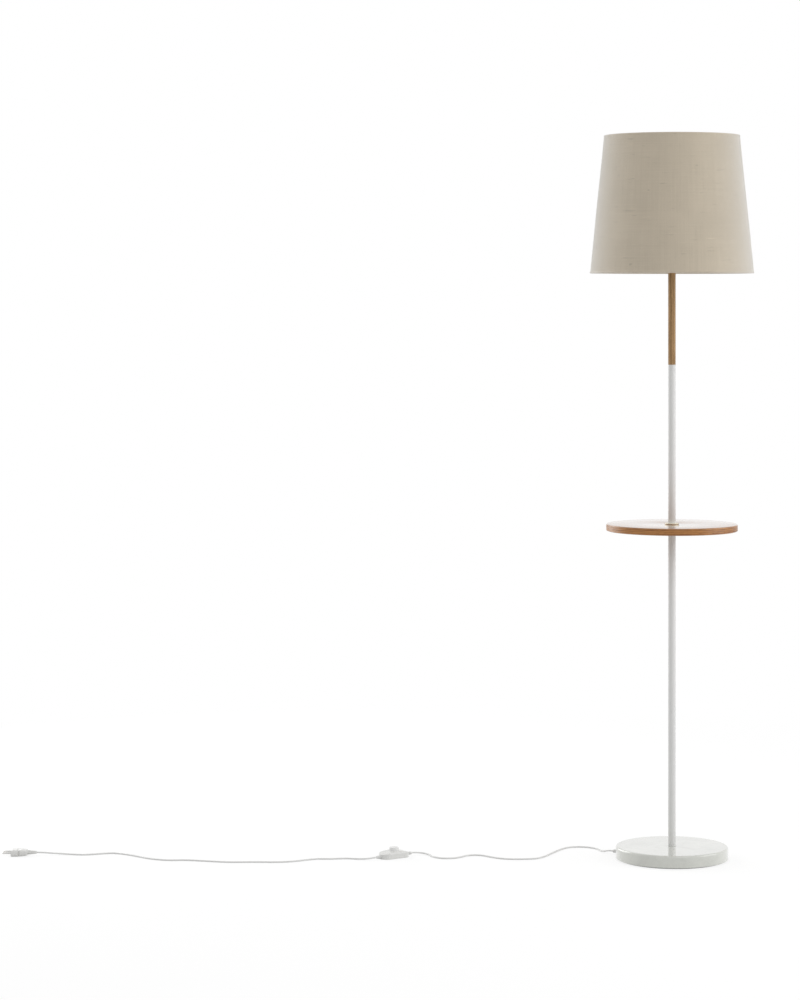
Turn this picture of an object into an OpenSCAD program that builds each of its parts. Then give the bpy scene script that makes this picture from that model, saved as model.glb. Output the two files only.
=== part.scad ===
// Floor lamp with a round wooden table on its pole, a tapered fabric shade and a foot switch on its lead.
// Millimetres. The origin is the centre of the underside of the base, +Z is up, and the front faces -Y.

/* [Base] */
// Diameter of the stone slab
base_d = 240; // [180:5:300]
// Thickness of the stone slab
slab_t = 26; // [22:1:40]
// Radius of the slab's upper edge
slab_edge_r = 4; // [1:0.5:6]
// Chamfer of the slab's lower edge
slab_chamfer = 1; // [0.5:0.25:2]
// Stone left above the pocket for the nut
pocket_roof = 8; // [6:0.5:10]
// Diameter of the pocket for the nut
pocket_d = 60; // [50:1:100]
// Thickness of the felt pad
pad_t = 2; // [1:0.25:4]
// How far the felt pad stays inside the slab's edge
pad_inset = 6; // [2:0.5:15]

/* [Pole] */
// Outer diameter of the pole, metal and wood alike
pole_d = 16; // [14:0.5:22]
// Wall of the steel tubes
tube_wall = 1; // [0.6:0.1:1.8]
// Length of the steel tube between base and table
lower_tube_l = 671.5; // [400:0.5:900]
// Length of the steel tube between table and wood
upper_tube_l = 338.5; // [200:0.5:500]
// Length of the wooden end of the pole
wood_l = 234; // [120:1:400]
// Diameter of the lead's bore through the wood
wood_bore = 7; // [6:0.25:9]
// Length of the threaded inserts in the tube ends
insert_l = 14; // [8:1:25]

/* [Threaded rods] */
// Outer diameter of the hollow threaded rods
rod_d = 10; // [9:0.25:10]
// Wall of the hollow threaded rods
rod_wall = 1.3; // [0.8:0.1:1.5]
// How deep a rod sits in the wood
rod_grip = 18; // [10:1:30]
// How far a rod runs past an insert
rod_overrun = 1; // [0:0.5:3]
// Thickness of the lock nut
nut_t = 3; // [2:0.5:5]
// Width across the flats of the lock nut
nut_flats = 14; // [13:0.5:19]

/* [Table] */
// Diameter of the tabletop
table_d = 280; // [200:5:400]
// Thickness of the tabletop
table_t = 15; // [10:0.5:25]
// Radius of the tabletop's edges
table_edge_r = 1.5; // [0.5:0.25:4]
// Diameter of the washers above and below the tabletop
table_washer_d = 30; // [24:1:60]
// Diameter of the washer in the base
base_washer_d = 40; // [24:1:48]
// Diameter of the washer under the lampholder
holder_washer_d = 24; // [18:0.5:30]
// Thickness of every washer
washer_t = 1.5; // [1:0.25:3]

/* [Lampholder] */
// Height of the lampholder's cap
cap_h = 20; // [16:1:30]
// Diameter of the cap's foot
cap_foot_d = 27; // [22:0.5:34]
// Outer diameter of the threaded skirt
skirt_d = 39; // [38:0.25:42]
// Height of the threaded skirt
skirt_h = 36; // [32:1:45]
// Wall of the skirt
skirt_wall = 4; // [2:0.25:5]
// Wall of the cap
cap_wall = 2; // [1.5:0.25:3]
// Diameter of the flange that carries the shade
flange_d = 47; // [44:0.5:56]
// Thickness of that flange
flange_t = 2; // [1.5:0.25:3]
// Outer diameter of the ring nut
ring_nut_d = 50; // [46:0.5:52]
// Height of the ring nut
ring_nut_h = 8; // [5:0.5:14]
// Thickness of the block that holds the contacts
contact_block_t = 6; // [4:0.5:8]
// Outer diameter of the lampholder's screw shell
screw_shell_d = 28; // [27.4:0.1:29]

/* [Bulb] */
// Diameter of the bulb's screw cap
bulb_cap_d = 26.4; // [26:0.1:26.6]
// Height of the bulb's screw cap with its contact
bulb_cap_h = 24.5; // [22:0.5:27]
// Diameter of the bulb's diffuser
bulb_d = 60; // [45:1:65]
// Length of the bulb from its contact to its tip
bulb_l = 106; // [100:1:118]
// Length of the bulb's closed body
bulb_body_l = 39.5; // [30:0.5:42]

/* [Shade] */
// Diameter of the shade's upper edge
shade_top_d = 291; // [220:1:340]
// Diameter of the shade's lower edge
shade_bottom_d = 350; // [300:5:420]
// Height of the shade
shade_h = 295; // [220:5:350]
// How far the shade hangs below its fitter ring
shade_drop = 62.5; // [40:0.5:90]
// Thickness of the linen cover
cover_t = 0.8; // [0.6:0.1:1.2]
// Thickness of the lining
lining_t = 0.5; // [0.3:0.1:0.8]
// Diameter of the wire rings
ring_wire_d = 3; // [2:0.25:3.5]
// Diameter of the rolled hems
hem_d = 4.8; // [4:0.1:6]
// Number of arms on the spider
arm_count = 3; // [3:1:4]
// Diameter of the spider's arms
arm_d = 3; // [2:0.25:4]
// Outer diameter of the fitter ring
fitter_d = 58; // [54:0.5:70]
// Thickness of the fitter ring
fitter_t = 1.5; // [1:0.25:2.5]

/* [Lead] */
// Width of the flat two-core mains lead
lead_w = 4.8; // [4:0.2:6]
// Thickness of the mains lead
lead_t = 3; // [2.6:0.1:3.6]
// Direction in plan in which the lead leaves the base, in degrees from +X
lead_exit_angle = 155; // [120:1:180]
// Diameter of the strain relief inside the base
relief_d = 9; // [8:0.25:10]
// Diameter of the strain relief at its tip
relief_tip_d = 6.4; // [6.2:0.1:7.5]
// Length of the strain relief inside the base
relief_in_l = 14; // [10:1:30]
// Length of the strain relief outside the base
relief_out_l = 14; // [8:1:30]

/* [Foot switch] */
// Length of the switch body
switch_l = 70; // [66:1:90]
// Width of the switch body
switch_w = 34; // [32:0.5:44]
// Height of the switch body at its middle
switch_h = 15.5; // [15:0.25:19]
// How much lower the body is at its ends
switch_crown = 6; // [4:0.25:6.5]
// Height of the lower shell
switch_split = 6.5; // [5.5:0.25:7.5]
// Wall of the shells
switch_wall = 2; // [1.5:0.25:2.25]
// Floor of the lower shell
switch_floor = 2.5; // [2:0.25:3]
// Radius of the upper shell's edge
switch_edge_r = 5; // [3:0.5:6]
// Height of the lead's centre where it enters
switch_lead_z = 5; // [4.75:0.05:5.25]
// Diameter of the sleeves where they leave the body
sleeve_d = 7.6; // [7:0.1:8]
// Diameter of the sleeves at their tips
sleeve_tip_d = 6; // [5.6:0.1:6.6]
// Length of the sleeves inside the body
sleeve_in_l = 11; // [8:1:13]
// Length of the sleeves outside the body
sleeve_out_l = 10; // [6:1:20]
// Diameter of the push button
button_d = 21; // [18:0.5:22]
// Travel of the button
button_travel = 3; // [2:0.25:3]
// How far the pressed button still stands above the body
button_stand = 4; // [3:0.25:6]
// Rounding of the button's top edge
button_edge_r = 2.5; // [1:0.25:3]
// Wall of the button
button_wall = 2; // [1.5:0.25:2.5]
// How far the button's collar stands out
button_lip = 1.8; // [1:0.1:2.2]
// Thickness of the button's collar
button_lip_t = 1.4; // [1:0.1:2]
// Mean diameter of the spring
spring_d = 11; // [8:0.25:13]
// Diameter of the spring's wire
spring_wire_d = 0.9; // [0.6:0.05:1.2]
// Turns of the spring
spring_turns = 5; // [4:1:7]

/* [Plug] */
// Width of the plug's front face
plug_w = 35.3; // [35.3:0.1:37]
// Height of the plug
plug_h = 13.7; // [12.5:0.1:15]
// Length of the plug's body
plug_body_l = 34; // [30:1:40]
// Length of the plug's strain relief
plug_relief_l = 20; // [20:1:40]
// Diameter of the plug's pins
pin_d = 4; // [3.8:0.1:4.8]
// Length of the plug's pins
pin_l = 19; // [17:0.5:20]
// Distance between the pins
pin_pitch = 19; // [17:0.5:20]
// Length of the insulating sleeve on a pin
pin_sleeve_l = 10; // [8:0.5:12]
// Wall of that sleeve
pin_sleeve_wall = 0.6; // [0.4:0.1:0.9]

/* [Hidden] */
$fn = 96;
// Radial clearance of threads and pressed parts
fit_gap = 0.05;
// Radial clearance of holes that a rod only passes through
hole_gap = 0.25;
// Radial clearance of the sliding button
slide_gap = 0.1;
// How far a cut runs past the face it opens
cut = 1;

// Heights of the pieces stacked on the base
rod_stub = 0.5;
base_top_z = pad_t + slab_t;
pocket_z = base_top_z - pocket_roof;
base_washer_z = pocket_z - washer_t;
base_nut_z = base_washer_z - nut_t;
base_rod_z = base_nut_z - rod_stub;
table_washer_z = base_top_z + lower_tube_l;
table_z = table_washer_z + washer_t;
table_top_z = table_z + table_t;
upper_tube_z = table_top_z + washer_t;
wood_z = upper_tube_z + upper_tube_l;
wood_top_z = wood_z + wood_l;
holder_z = wood_top_z + washer_t;
skirt_z = holder_z + cap_h;
fitter_z = skirt_z + flange_t;
ring_nut_z = fitter_z + fitter_t;
contact_z = skirt_z + contact_block_t;
shade_z = fitter_z - shade_drop;

// Threads
rod_bore = rod_d - 2 * rod_wall;
tube_bore = pole_d - 2 * tube_wall;
thread_hole_d = rod_d + 2 * fit_gap;
rod_hole_d = rod_d + 2 * hole_gap;

// Lampholder and bulb
cap_boss_h = 9;
core_hole_d = 3;
core_hole_x = 9;
contact_d = 8;
contact_t = 2;
screw_gap = 0.1;
shell_below_rim = 4;
bulb_tip_d = 9;
bulb_tip_h = 1.5;
bulb_cone_d = 22;
bulb_cone_h = 4;
bulb_collar = 0.6;
bulb_z = contact_z + contact_t;
bulb_body_z = bulb_z + bulb_cap_h;
globe_z = bulb_body_z + bulb_body_l;
globe_centre_z = bulb_z + bulb_l - bulb_d / 2;
globe_cut_r = sqrt(pow(bulb_d / 2, 2) - pow(globe_centre_z - globe_z, 2));

// Shade: the hems are rolled round the wire rings, and the cover hangs between them
hem_proud = 0.6;
bottom_ring_r = shade_bottom_d / 2 - hem_d / 2;
top_ring_r = shade_top_d / 2 - hem_d / 2;
bottom_ring_z = shade_z + hem_d / 2;
top_ring_z = shade_z + shade_h - hem_d / 2;
arm_start_r = fitter_d / 2 - arm_d;
arm_start_z = fitter_z + fitter_t / 2;
arm_drop = arm_start_z - bottom_ring_z;
arm_reach = bottom_ring_r - arm_start_r;
arm_tilt = atan2(arm_drop, arm_reach);
arm_l = norm([arm_drop, arm_reach]);
first_arm_angle = 90;

// Lead inside the base
lead_exit_z = pad_t + relief_d / 2;
lead_bend_r = base_rod_z - lead_exit_z;
lead_exit_r = base_d / 2 + relief_out_l;
lead_exit_dir = [cos(lead_exit_angle), sin(lead_exit_angle), 0];
lead_end_room = 4;
lead_top_z = holder_z + cap_h - lead_end_room;

// Foot switch: its centre and turn on the floor
switch_x = -594;
switch_y = 16;
switch_turn = 35;
switch_dir = [cos(switch_turn), sin(switch_turn), 0];
switch_centre = [switch_x, switch_y, switch_lead_z];
switch_reach = switch_l / 2 + sleeve_out_l;
crown_r = (pow(switch_l / 2, 2) + pow(switch_crown, 2)) / (2 * switch_crown);
button_hole_d = button_d + 2 * slide_gap;
button_lip_room = 0.9;
button_lip_z = switch_h - switch_wall - button_lip_room - button_lip_t;
button_top_z = switch_h + button_travel + button_stand;
button_roof = 2.5;
carrier_d = 22;
carrier_t = 2;
carrier_arm_w = 12;
carrier_top_z = switch_floor + carrier_t;
terminal_x = 18;
terminal_size = [7, 9, 5];
post_x = 22;
post_y = 10.5;
post_d = 6;
shell_screw_d = 2.5;
shell_screw_head_d = 4.6;
shell_screw_head_t = 1.2;
shell_screw_l = 8;
core_d = 2.2;
core_y = 1.6;

// Plug: the end of the lead, which points along -X
plug_x = -1362;
plug_y = 39;
plug_z = plug_h / 2;
plug_end_x = plug_x - plug_relief_l;
plug_face_x = plug_end_x - plug_body_l;
plug_slice = 0.5;
pin_root_l = 10;
pin_root_d = 3;
relief_root_share = 0.75;
relief_tip_wall = 0.7;
plug_neck_w = 0.62;
plug_neck_h = 0.85;
plug_front_share = 0.55;
plug_bevel = 0.4;
plug_side_share = 0.35;

// The lead's route over the floor
floor_z = lead_t / 2 + 0.1;
exit_point = lead_exit_r * lead_exit_dir + [0, 0, lead_exit_z];
switch_right = switch_centre + switch_reach * switch_dir;
switch_left = switch_centre - switch_reach * switch_dir;
plug_point = [plug_x, plug_y, plug_z];
lead_to_switch_route = [
    exit_point,
    exit_point + 10 * lead_exit_dir,
    [-141, 71, 3.6],
    [-147, 90, 1.8],
    [-154, 109, floor_z],
    [-169, 125, floor_z],
    [-191, 132, floor_z],
    [-212, 126, floor_z],
    [-228, 108, floor_z],
    [-242, 82, floor_z],
    [-256, 52, floor_z],
    [-270, 22, floor_z],
    [-288, -2, floor_z],
    [-316, -10, floor_z],
    [-347, -10, floor_z],
    [-371, 0, floor_z],
    [-391, 18, floor_z],
    [-404, 31, floor_z],
    [-421, 36, floor_z],
    [-438, 29, floor_z],
    [-451, 13, floor_z],
    [-468, 0, floor_z],
    [-489, -1, floor_z],
    [-505, 9, floor_z],
    [-514, 25, floor_z],
    [-519, 37, 2.4],
    [-528, 46, 3.3],
    [-540, 49, 4.3],
    switch_right + 8 * switch_dir,
    switch_right
];
lead_to_plug_route = [
    switch_left,
    switch_left - 8 * switch_dir,
    [-650, -18, 3.8],
    [-663, -15, 2.8],
    [-677, -7, floor_z],
    [-696, -3, floor_z],
    [-730, -8, floor_z],
    [-756, -8, floor_z],
    [-780, -19, floor_z],
    [-808, -36, floor_z],
    [-842, -44, floor_z],
    [-890, -43, floor_z],
    [-945, -44, floor_z],
    [-994, -32, floor_z],
    [-1035, -22, floor_z],
    [-1078, -22, floor_z],
    [-1112, -7, floor_z],
    [-1140, 17, floor_z],
    [-1168, 42, floor_z],
    [-1200, 58, floor_z],
    [-1232, 49, floor_z],
    [-1262, 40, floor_z],
    [-1302, 44, 2.6],
    plug_point + [16, 0, -0.6],
    plug_point
];
lead_sides = 10;

// Helix between the carrier and the button's roof
spring_sides = 6;
spring_steps = 8;
spring_low_z = carrier_top_z + spring_wire_d / 2 + fit_gap;
spring_high_z = button_top_z - button_roof - spring_wire_d / 2 - fit_gap;
spring_rise = spring_high_z - spring_low_z;
spring_route = [
    for (k = [0 : spring_turns * spring_steps])
        let (a = 360 * k / spring_steps)
        [spring_d / 2 * cos(a), spring_d / 2 * sin(a),
            spring_low_z + spring_rise * k / (spring_turns * spring_steps)]
];

// ---- Shared shapes ----

// Ring or tube standing on z = 0
module pipe(outer_d, inner_d, h) {
    difference() {
        cylinder(d = outer_d, h = h);
        translate([0, 0, -cut]) cylinder(d = inner_d, h = h + 2 * cut);
    }
}

// Upright bar with round edges, w wide in Y and t thick in X, grown by gap all round
module flat_bar(w, t, h, gap = 0) {
    for (side = [-1, 1])
        translate([0, side * (w - t) / 2, 0]) cylinder(d = t + 2 * gap, h = h);
    translate([-t / 2 - gap, -(w - t) / 2, 0]) cube([t + 2 * gap, w - t, h]);
}

// Ring of round wire, its centre line in the plane z = 0
module wire_ring(r, wire_d) {
    rotate_extrude() translate([r, 0]) circle(d = wire_d);
}

// Disc whose upper edge, lower edge or both are rounded
module rounded_disc(d, h, top_r = 0, bottom_r = 0) {
    translate([0, 0, bottom_r]) cylinder(d = d, h = h - top_r - bottom_r);
    if (top_r > 0) {
        cylinder(d = d - 2 * top_r, h = h);
        translate([0, 0, h - top_r]) wire_ring(d / 2 - top_r, 2 * top_r);
    }
    if (bottom_r > 0) {
        cylinder(d = d - 2 * bottom_r, h = h / 2);
        translate([0, 0, bottom_r]) wire_ring(d / 2 - bottom_r, 2 * bottom_r);
    }
}

// Block with round ends in plan and a rounded upper edge
module rounded_block(l, w, h, top_r) {
    for (side = [-1, 1])
        translate([side * (l - w) / 2, 0, 0]) rounded_disc(w, h, top_r);
    translate([-(l - w) / 2, -w / 2, 0]) cube([l - w, w, h - top_r]);
    translate([-(l - w) / 2, -w / 2 + top_r, 0]) cube([l - w, w - 2 * top_r, h]);
    for (side = [-1, 1])
        translate([-(l - w) / 2, side * (w / 2 - top_r), h - top_r])
            rotate([0, 90, 0]) cylinder(r = top_r, h = l - w);
}

// Point at t between p[i] and p[i + 1] on the smooth curve through all the points
function before(p, i) = i > 0 ? p[i - 1] : 2 * p[0] - p[1];
function after(p, i) = i + 2 < len(p) ? p[i + 2] : 2 * p[i + 1] - p[i];
function curve_point(p, i, t) =
    let (a = before(p, i), b = p[i], c = p[i + 1], d = after(p, i))
    0.5 * (2 * b + (c - a) * t + (2 * a - 5 * b + 4 * c - d) * t * t + (3 * b - a - 3 * c + d) * t * t * t);
function smooth_route(p) = [
    for (i = [0 : len(p) - 2]) each [p[i], curve_point(p, i, 0.5)],
    p[len(p) - 1]
];

// Direction of travel at point i
function unit(v) = v / norm(v);
function heading(p, i) =
    i == 0 ? unit(p[1] - p[0]) :
    i == len(p) - 1 ? unit(p[i] - p[i - 1]) :
    unit(unit(p[i + 1] - p[i]) + unit(p[i] - p[i - 1]));
function ring_points(p, i, w, t, sides) =
    let (ahead = heading(p, i), side = unit(cross(ahead, [0, 0, 1])), up = cross(side, ahead))
    [for (k = [0 : sides - 1])
        let (a = 360 * k / sides)
        p[i] + (sign(cos(a)) * (w - t) / 2 + t / 2 * cos(a)) * side + t / 2 * sin(a) * up];

// Solid cord along the points p, of width w and thickness t with round edges, which lies flat
module cord(p, w, t, sides) {
    last = len(p) - 1;
    points = [for (i = [0 : last]) each ring_points(p, i, w, t, sides)];
    walls = [
        for (i = [0 : last - 1], k = [0 : sides - 1])
            let (a = i * sides + k, b = i * sides + (k + 1) % sides)
            each [[a, b, b + sides], [a, b + sides, a + sides]]
    ];
    start_cap = [for (k = [sides - 1 : -1 : 0]) k];
    end_cap = [for (k = [0 : sides - 1]) last * sides + k];
    polyhedron(points, concat([start_cap, end_cap], walls));
}

// ---- Base ----

// The groove in the slab's underside that the lead lies in
module lead_groove() {
    rotate(lead_exit_angle) {
        translate([0, 0, lead_exit_z]) rotate([0, 90, 0])
            cylinder(d = relief_d, h = base_d / 2 + cut);
        translate([0, -relief_d / 2, 0])
            cube([base_d / 2 + cut, relief_d, lead_exit_z]);
    }
}

module base_slab() {
    color("#e9eae6") difference() {
        translate([0, 0, pad_t]) union() {
            cylinder(d1 = base_d - 2 * slab_chamfer, d2 = base_d, h = slab_chamfer);
            translate([0, 0, slab_chamfer])
                rounded_disc(base_d, slab_t - slab_chamfer, slab_edge_r);
        }
        cylinder(d = rod_hole_d, h = base_top_z + cut);
        cylinder(d = pocket_d, h = pocket_z);
        lead_groove();
    }
}

module base_pad() {
    color("#8d8f90") cylinder(d = base_d - 2 * pad_inset, h = pad_t);
}

module base_washer() {
    color("#c9cbcc") translate([0, 0, base_washer_z]) pipe(base_washer_d, rod_hole_d, washer_t);
}

module base_nut() {
    color("#c9cbcc") translate([0, 0, base_nut_z]) difference() {
        cylinder(d = nut_flats / cos(30), h = nut_t, $fn = 6);
        translate([0, 0, -cut]) cylinder(d = thread_hole_d, h = nut_t + 2 * cut);
    }
}

// Hollow threaded rod between two heights
module threaded_rod(low_z, high_z) {
    color("#c2c4c6") translate([0, 0, low_z]) pipe(rod_d, rod_bore, high_z - low_z);
}

module base_rod() {
    threaded_rod(base_rod_z, base_top_z + insert_l + rod_overrun);
}

module strain_relief() {
    color("#f1f1ee") rotate(lead_exit_angle) translate([base_d / 2, 0, lead_exit_z]) rotate([0, 90, 0])
        difference() {
            union() {
                translate([0, 0, -relief_in_l]) cylinder(d = relief_d - 2 * fit_gap, h = relief_in_l);
                cylinder(d1 = relief_d - 2 * fit_gap, d2 = relief_tip_d, h = relief_out_l);
            }
            translate([0, 0, -relief_in_l - cut])
                flat_bar(lead_w, lead_t, relief_in_l + relief_out_l + 2 * cut, fit_gap);
        }
}

// ---- Pole and table ----

module steel_tube(low_z, length) {
    color("#f0f1f0") translate([0, 0, low_z]) pipe(pole_d, tube_bore, length);
}

module lower_tube() {
    steel_tube(base_top_z, lower_tube_l);
}

module upper_tube() {
    steel_tube(upper_tube_z, upper_tube_l);
}

module tube_inserts() {
    lows = [base_top_z, table_washer_z - insert_l, upper_tube_z, wood_z - insert_l];
    color("#b9bbbd") for (low_z = lows)
        translate([0, 0, low_z]) pipe(tube_bore - 2 * fit_gap, thread_hole_d, insert_l);
}

module table_washer_lower() {
    color("#8a8884") translate([0, 0, table_washer_z]) pipe(table_washer_d, rod_hole_d, washer_t);
}

module table_washer_upper() {
    color("#8a8884") translate([0, 0, table_top_z]) pipe(table_washer_d, rod_hole_d, washer_t);
}

module tabletop() {
    color("#b8824e") translate([0, 0, table_z]) difference() {
        rounded_disc(table_d, table_t, table_edge_r, table_edge_r);
        translate([0, 0, -cut]) cylinder(d = rod_hole_d, h = table_t + 2 * cut);
    }
}

module table_rod() {
    threaded_rod(table_washer_z - insert_l - rod_overrun, upper_tube_z + insert_l + rod_overrun);
}

module joint_rod() {
    threaded_rod(wood_z - insert_l - rod_overrun, wood_z + rod_grip);
}

module wood_pole() {
    color("#a5794c") difference() {
        translate([0, 0, wood_z]) cylinder(d = pole_d, h = wood_l);
        translate([0, 0, wood_z - cut]) cylinder(d = wood_bore, h = wood_l + 2 * cut);
        translate([0, 0, wood_z - cut]) cylinder(d = thread_hole_d, h = rod_grip + cut);
        translate([0, 0, wood_top_z - rod_grip]) cylinder(d = thread_hole_d, h = rod_grip + cut);
    }
}

module holder_rod() {
    threaded_rod(wood_top_z - rod_grip, holder_z + cap_boss_h);
}

module holder_washer() {
    color("#c9cbcc") translate([0, 0, wood_top_z]) pipe(holder_washer_d, rod_hole_d, washer_t);
}

// The lead from the lampholder down the pole, round under the nut and out through the strain relief
module inner_lead() {
    lane = (lead_w - lead_t) / 2;
    color("#f4f4f2") rotate(lead_exit_angle) {
        translate([0, 0, lead_exit_z + lead_bend_r])
            flat_bar(lead_w, lead_t, lead_top_z - lead_exit_z - lead_bend_r);
        translate([lead_bend_r, 0, lead_exit_z + lead_bend_r]) rotate([90, 0, 0]) rotate(180) {
            for (side = [-1, 1])
                rotate_extrude(angle = 90) translate([lead_bend_r, side * lane]) circle(d = lead_t);
            rotate_extrude(angle = 90) translate([lead_bend_r - lead_t / 2, -lane])
                square([lead_t, 2 * lane]);
        }
        translate([lead_bend_r, 0, lead_exit_z]) rotate([0, 90, 0])
            flat_bar(lead_w, lead_t, lead_exit_r - lead_bend_r);
    }
}

// ---- Lampholder and bulb ----

module holder_cap() {
    color("#f2f2f0") translate([0, 0, holder_z]) difference() {
        cylinder(d1 = cap_foot_d, d2 = skirt_d, h = cap_h);
        translate([0, 0, cap_boss_h])
            cylinder(d1 = cap_foot_d, d2 = skirt_d - 2 * cap_wall, h = cap_h - cap_boss_h + 0.01);
        translate([0, 0, -cut]) cylinder(d = thread_hole_d, h = cap_boss_h + 2 * cut);
    }
}

module holder_skirt() {
    color("#f2f2f0") translate([0, 0, skirt_z]) difference() {
        union() {
            cylinder(d = skirt_d, h = skirt_h);
            cylinder(d = flange_d, h = flange_t);
        }
        translate([0, 0, -cut]) cylinder(d = skirt_d - 2 * skirt_wall, h = skirt_h + 2 * cut);
    }
}

module contact_block() {
    color("#dcdad2") translate([0, 0, skirt_z]) difference() {
        cylinder(d = skirt_d - 2 * skirt_wall - 2 * fit_gap, h = contact_block_t);
        for (side = [-1, 1])
            translate([side * core_hole_x, 0, -cut]) cylinder(d = core_hole_d, h = contact_block_t + 2 * cut);
    }
}

module centre_contact() {
    color("#c9a24a") translate([0, 0, contact_z]) cylinder(d = contact_d, h = contact_t);
}

module screw_shell() {
    color("#c9a24a") translate([0, 0, contact_z])
        pipe(screw_shell_d, bulb_cap_d + 2 * screw_gap, skirt_h - contact_block_t - shell_below_rim);
}

module ring_nut() {
    grips = 24;
    grip_d = 2.4;
    color("#f2f2f0") translate([0, 0, ring_nut_z]) difference() {
        pipe(ring_nut_d, skirt_d + 2 * screw_gap, ring_nut_h);
        for (k = [0 : grips - 1])
            rotate(360 * k / grips) translate([ring_nut_d / 2 + grip_d / 4, 0, -cut])
                cylinder(d = grip_d, h = ring_nut_h + 2 * cut, $fn = 24);
    }
}

module bulb_cap() {
    thread_z = bulb_tip_h + bulb_cone_h;
    color("#c8c9ca") translate([0, 0, bulb_z]) {
        cylinder(d = bulb_tip_d, h = bulb_tip_h);
        translate([0, 0, bulb_tip_h]) cylinder(d1 = bulb_tip_d, d2 = bulb_cone_d, h = bulb_cone_h);
        translate([0, 0, thread_z]) cylinder(d = bulb_cap_d, h = bulb_cap_h - thread_z);
    }
}

module bulb_body() {
    color("#f4f4f2") translate([0, 0, bulb_body_z])
        cylinder(d1 = bulb_cap_d + bulb_collar, d2 = 2 * globe_cut_r, h = bulb_body_l);
}

module bulb_diffuser() {
    color("#fbfaf4") intersection() {
        translate([0, 0, globe_centre_z]) sphere(d = bulb_d);
        translate([0, 0, globe_z]) cylinder(d = bulb_d + cut, h = bulb_l);
    }
}

// ---- Shade ----

// Sloping wall that follows the shade's side, from inset to inset + t inside the cover's face
module shade_wall(inset, t) {
    low_r = shade_bottom_d / 2 - hem_proud - inset;
    high_r = shade_top_d / 2 - hem_proud - inset;
    rotate_extrude() polygon([
        [low_r - t, bottom_ring_z], [low_r, bottom_ring_z],
        [high_r, top_ring_z], [high_r - t, top_ring_z]
    ]);
}

module hem_rolls() {
    translate([0, 0, bottom_ring_z]) wire_ring(bottom_ring_r, hem_d);
    translate([0, 0, top_ring_z]) wire_ring(top_ring_r, hem_d);
}

module shade_cover() {
    color("#c8bda5") difference() {
        shade_wall(0, cover_t);
        hem_rolls();
    }
}

module shade_lining() {
    color("#f1ede2") difference() {
        shade_wall(cover_t, lining_t);
        hem_rolls();
    }
}

module shade_top_ring() {
    color("#f0f0ee") translate([0, 0, top_ring_z]) wire_ring(top_ring_r, ring_wire_d);
}

module shade_bottom_ring() {
    color("#f0f0ee") translate([0, 0, bottom_ring_z]) wire_ring(bottom_ring_r, ring_wire_d);
}

// The arms as plain wires from the fitter ring to the bottom ring
module arm_wires() {
    for (k = [0 : arm_count - 1])
        rotate(first_arm_angle + 360 * k / arm_count) translate([arm_start_r, 0, arm_start_z])
            rotate([0, 90 + arm_tilt, 0]) cylinder(d = arm_d, h = arm_l);
}

module shade_spider() {
    color("#f0f0ee") difference() {
        union() {
            translate([0, 0, fitter_z]) cylinder(d = fitter_d, h = fitter_t);
            arm_wires();
        }
        translate([0, 0, fitter_z - cut]) cylinder(d = skirt_d + 1, h = fitter_t + 2 * cut);
        translate([0, 0, bottom_ring_z]) wire_ring(bottom_ring_r, ring_wire_d);
    }
}

module shade_top_hem() {
    color("#bfb399") translate([0, 0, top_ring_z]) difference() {
        wire_ring(top_ring_r, hem_d);
        wire_ring(top_ring_r, ring_wire_d);
    }
}

// The lower hem is slit where an arm is welded to the ring
module shade_bottom_hem() {
    slit_w = arm_d + 4 * hole_gap;
    color("#bfb399") translate([0, 0, bottom_ring_z]) difference() {
        wire_ring(bottom_ring_r, hem_d);
        wire_ring(bottom_ring_r, ring_wire_d);
        for (k = [0 : arm_count - 1])
            rotate(first_arm_angle + 360 * k / arm_count)
                translate([bottom_ring_r - hem_d / 2 - cut, -slit_w / 2, -hem_d])
                    cube([hem_d / 2 + cut, slit_w, 2 * hem_d]);
    }
}

// ---- Lead and foot switch ----

module lead_to_switch() {
    color("#f4f4f2") cord(smooth_route(lead_to_switch_route), lead_w, lead_t, lead_sides);
}

module lead_to_plug() {
    color("#f4f4f2") cord(smooth_route(lead_to_plug_route), lead_w, lead_t, lead_sides);
}

// Puts its children where the switch lies
module at_switch() {
    translate([switch_x, switch_y, 0]) rotate(switch_turn) children();
}

// The switch's outer form, shrunk by inset on all sides but the floor
module switch_form(inset) {
    intersection() {
        rounded_block(switch_l - 2 * inset, switch_w - 2 * inset, switch_h - inset, switch_edge_r - inset);
        translate([0, switch_w / 2, switch_h - crown_r]) rotate([90, 0, 0])
            cylinder(r = crown_r - inset, h = switch_w, $fn = 360);
    }
}

module sleeve_holes() {
    for (side = [-1, 1])
        translate([side * (switch_l / 2 - sleeve_in_l - cut), 0, switch_lead_z]) rotate([0, side * 90, 0])
            cylinder(d = sleeve_d + 2 * fit_gap, h = sleeve_in_l + 2 * cut);
}

module at_posts() {
    for (side = [-1, 1])
        translate([side * post_x, side * post_y, 0]) children();
}

module switch_lower_shell() {
    color("#f6f6f4") at_switch() difference() {
        intersection() {
            switch_form(0);
            translate([-switch_l, -switch_w, 0]) cube([2 * switch_l, 2 * switch_w, switch_split]);
        }
        translate([0, 0, switch_floor])
            rounded_block(switch_l - 2 * switch_wall, switch_w - 2 * switch_wall, switch_h, 1);
        sleeve_holes();
        at_posts() {
            translate([0, 0, -cut]) cylinder(d = shell_screw_d + 2 * hole_gap, h = switch_floor + 2 * cut);
            translate([0, 0, -cut]) cylinder(d = shell_screw_head_d + 2 * hole_gap, h = shell_screw_head_t + cut);
        }
    }
}

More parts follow.
